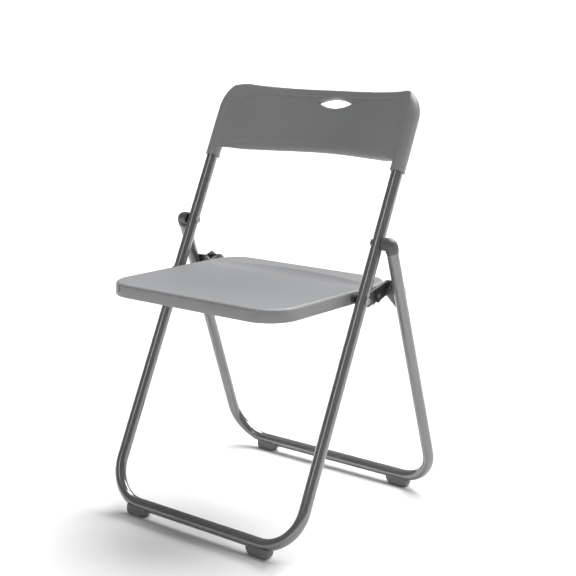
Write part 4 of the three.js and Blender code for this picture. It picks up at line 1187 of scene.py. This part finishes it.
def build_knobs():
    """Ribbed spacers on the link pivots."""
    for name, _ in SIDES:
        low, high = reach(f"{name}_link_knob", rear_axes)
        centre = ((low.y + high.y) / 2, (low.z + high.z) / 2)
        outline = []
        for k in range(KNOB_RIBS * 10):
            turn = 2 * math.pi * k / (KNOB_RIBS * 10)
            wave = math.tanh(KNOB_RIB_SQUARE * math.cos(KNOB_RIBS * turn)) / math.tanh(KNOB_RIB_SQUARE)
            radius = KNOB_RADIUS + KNOB_RIB_HEIGHT * (wave - 1)
            outline.append((centre[0] + radius * math.cos(turn), centre[1] + radius * math.sin(turn)))
        holes = [(*centre, PIN_RADIUS + TIGHT_PLAY)]
        node, run = f"{name}_link_knob_moulding", (low.x, high.x)
        knob = plate(node, outline, holes, run, rear_axes, BLACK_PLASTIC, 0.8)
        settle(knob, "rear_frame", "dark_plastic", f"{name}_link_knob")


def build_brackets():
    """The rear brackets are angles; the seat brackets are flat plates let into the seat."""
    for name, side in SIDES:
        pivot = reach(f"{name}_link_knob", rear_axes)
        y, z = (pivot[0].y + pivot[1].y) / 2, (pivot[0].z + pivot[1].z) / 2
        web_front = TUBE_RADIUS + PLAY
        bottom, crown, back = z - BRACKET_BELOW_PIVOT, z + BRACKET_ABOVE_PIVOT, y + BRACKET_REACH
        upright = [(web_front, bottom), (back - 3, bottom), (back - 0.6, bottom + 1.2), (back, bottom + 4)]
        upright += [(back, z - BRACKET_BELOW_PIVOT / 2), (y + BRACKET_REACH / 4, crown), (web_front, crown)]
        knob_inner = min(abs(pivot[0].x), abs(pivot[1].x))
        outer = REAR_HALF_SPAN
        leg_inner = REAR_HALF_SPAN - TUBE_RADIUS
        plate_outer = leg_inner - BRACKET_LEG_CLEARANCE
        holes = [(y, z, PIN_RADIUS + PLAY)]
        run = (side * (plate_outer - BRACKET_THICKNESS), side * plate_outer)
        bracket = plate(f"{name}_rear_bracket_pressing", upright, holes, run, rear_axes, DARK_STEEL, 0)
        web_low = z - WEB_BELOW_PIVOT
        web = [(knob_inner, z + WEB_POINT[0]), (leg_inner, web_low), (outer, web_low)]
        web += [(outer, crown), (plate_outer, crown), (knob_inner, z + WEB_POINT[1])]
        points = [(side * x, w, h) for w in (web_front, web_front + BRACKET_THICKNESS) for x, h in web]
        count = len(web)
        faces = [list(range(count)), list(range(count, 2 * count))]
        faces += [(k, (k + 1) % count, count + (k + 1) % count, count + k) for k in range(count)]
        carve(bracket, "UNION", new_piece("web", points, faces, rear_axes, DARK_STEEL))
        soften(bracket, 0.5)
        settle(bracket, "rear_frame", "dark_steel", f"{name}_rear_bracket")

        low, high = reach(f"{name}_seat_bracket", seat_axes)
        corner = SEAT_BRACKET_CORNER
        outline = arc((high.y - corner, low.z + corner), (corner,) * 2, -90, 0, 8)
        outline += arc((high.y - corner, high.z - corner), (corner,) * 2, 0, 90, 8)
        outline += arc((low.y + corner, high.z - corner), (corner,) * 2, 90, 180, 8)
        outline += arc((low.y + corner, low.z + corner), (corner,) * 2, 180, 270, 8)
        holes = []
        for k in (1, 2):
            place = seat_axes.inverted() @ middle(f"{name}_seat_bracket_screw_{k}")
            holes.append((place.y, place.z, SCREW_HEAD_RADIUS + 0.2))
        node, run = f"{name}_seat_bracket_pressing", (low.x, high.x)
        bracket = plate(node, outline, holes, run, seat_axes, DARK_STEEL, 0.35)
        settle(bracket, "seat", "dark_steel", f"{name}_seat_bracket")


# ------------------------------------------------------------------ feet


def foot_section(half_width, low, high, corner):
    """A foot's cross section: (square to the bar, height), open side up."""
    points = [(-half_width * 0.94, high), (-half_width, (low + high) / 2)]
    points += arc((-half_width + corner, low + corner), (corner,) * 2, 180, 270, 8)
    points += arc((half_width - corner, low + corner), (corner,) * 2, 270, 360, 8)
    return points + [(half_width, (low + high) / 2), (half_width * 0.94, high)]


def build_feet():
    """Each foot is a shoe under a crossbar, with a long slant at its inner end."""
    for prefix, body, bar, half_span, lean in (
        ("front", "front_frame", front_bar, FRONT_HALF_SPAN, -front_lean),
        ("rear", "rear_frame", rear_bar, REAR_HALF_SPAN, rear_lean),
    ):
        upright = Matrix.Translation(bar) @ Matrix.Scale(MM, 4)
        for name, side in SIDES:
            node = f"{prefix}_{name}_foot"
            low, high = reach(node, upright)
            inner, outer = sorted((abs(low.x), abs(high.x)))
            stations = []
            for share in (0.0, 0.12, 0.3, 0.5, 0.7, 0.88, 1.0):
                stations.append((inner + FOOT_SLANT * share, 1 - share**0.9))
            stations += [(inner + 16, 0), ((inner + outer) / 2, 0), (outer - 14, 0)]
            for degrees in (0, 20, 40, 60, 75, 90):
                turn = math.radians(degrees)
                stations.append((outer - FOOT_ROUND * (1 - math.sin(turn)), 1 - math.cos(turn)))
            points, faces = [], []
            half = (high.y - low.y) / 2
            ring_count = None
            for x, rise in stations:
                end_rise = FOOT_SLANT * 0.85 if x < (inner + outer) / 2 else FOOT_ROUND
                section = foot_section(half - rise * 1.6, low.z + rise * end_rise, high.z, 4.5)
                ring_count = len(section)
                points += [(side * x, y, z) for y, z in section]
            for k in range(len(stations) - 1):
                for i in range(ring_count):
                    n = (i + 1) % ring_count
                    a, b = k * ring_count + i, k * ring_count + n
                    faces.append((a, b, b + ring_count, a + ring_count))
            last = (len(stations) - 1) * ring_count
            faces += [list(range(ring_count)), [last + i for i in range(ring_count)]]
            foot = new_piece(f"{node}_moulding", points, faces, upright, FOOT_PLASTIC)
            soften(foot, 0.6, 2, 40)
            groove_stations = frame_stations(half_span, 4 * BEND_RADIUS)
            grooved = axes(bar, lean)
            radii = (TUBE_RADIUS + FOOT_PLAY,) * 2
            flat_bar = tube("groove", groove_stations, lambda _: radii, grooved, FOOT_PLASTIC)
            carve(foot, "DIFFERENCE", flat_bar)
            screw_low, _ = reach(f"{node}_screw", upright)
            well = drill(low.z - 2, screw_low.z + 2.2, SCREW_HEAD_RADIUS + PLAY)
            centre = (side * (inner + outer) / 2, 0)
            carve(foot, "DIFFERENCE", turned("well", well, 1, centre, upright, FOOT_PLASTIC, 32, "z"))
            settle(foot, body, "foot_plastic", node)


# ------------------------------------------------------------------ studio


def studio():
    """A plain pale floor under soft light, and the camera."""
    floor_mesh = bpy.data.meshes.new("floor")
    half = FLOOR_SIZE / 2
    corners = [(-half, -half, 0), (half, -half, 0), (half, half, 0), (-half, half, 0)]
    floor_mesh.from_pydata(corners, [], [(0, 1, 2, 3)])
    floor = bpy.data.objects.new("floor", floor_mesh)
    bpy.context.scene.collection.objects.link(floor)
    pale = Finish(bpy.data.materials.new("pale_floor"))
    tone = pale.noise(0.6, 2.0)
    colour = pale.blend(tone, grey(0.8), grey(0.82))
    floor_mesh.materials.append(pale.surface(base_color=colour, roughness=0.9, specular_ior_level=0.1))

    world = bpy.data.worlds.new("studio")
    bpy.context.scene.world = world
    sky = Finish(world)
    direction = sky.node("ShaderNodeTexCoord", output="Generated")
    height = sky.node("ShaderNodeSeparateXYZ", None, {0: direction}, "Z")
    strength = 1.5 - height.between(0.02, 0.07) * 1.33
    light = sky.node("ShaderNodeBackground", None, {"Color": (1, 1, 1, 1), "Strength": strength}, 0)
    sky.node("ShaderNodeOutputWorld", None, {"Surface": light})

    def lamp(name, kind, place, power, **settings):
        data = bpy.data.lights.new(name, kind)
        data.energy = power
        for key, value in settings.items():
            setattr(data, key, value)
        thing = bpy.data.objects.new(name, data)
        bpy.context.scene.collection.objects.link(thing)
        thing.location = place
        thing.rotation_mode = "QUATERNION"
        thing.rotation_quaternion = (LIT_POINT - Vector(place)).to_track_quat("-Z", "Y")

    lamp("overhead", "SUN", (0.3, 3.0, 5.0), 6.3, angle=math.radians(55))
    lamp("front_softbox", "AREA", (-0.1, -2.9, 2.4), 12.0, shape="RECTANGLE", size=0.22, size_y=1.8)

    camera_data = bpy.data.cameras.new("camera")
    camera_data.lens = CAMERA_LENS
    camera_data.sensor_width = 36.0
    camera_data.clip_end = 200
    camera = bpy.data.objects.new("camera", camera_data)
    bpy.context.scene.collection.objects.link(camera)
    azimuth, elevation = CAMERA_ANGLES
    level = math.cos(elevation)
    back = Vector((math.sin(azimuth) * level, -math.cos(azimuth) * level, math.sin(elevation)))
    camera.location = CAMERA_PLACE
    camera.rotation_mode = "QUATERNION"
    camera.rotation_quaternion = (-back).to_track_quat("-Z", "Y")
    bpy.context.scene.camera = camera
    bpy.context.scene.view_settings.view_transform = "Standard"


build_tubes()
build_seat()
build_backrest()
build_elbows()
build_pins()
build_links()
build_knobs()
build_brackets()
build_feet()
studio()
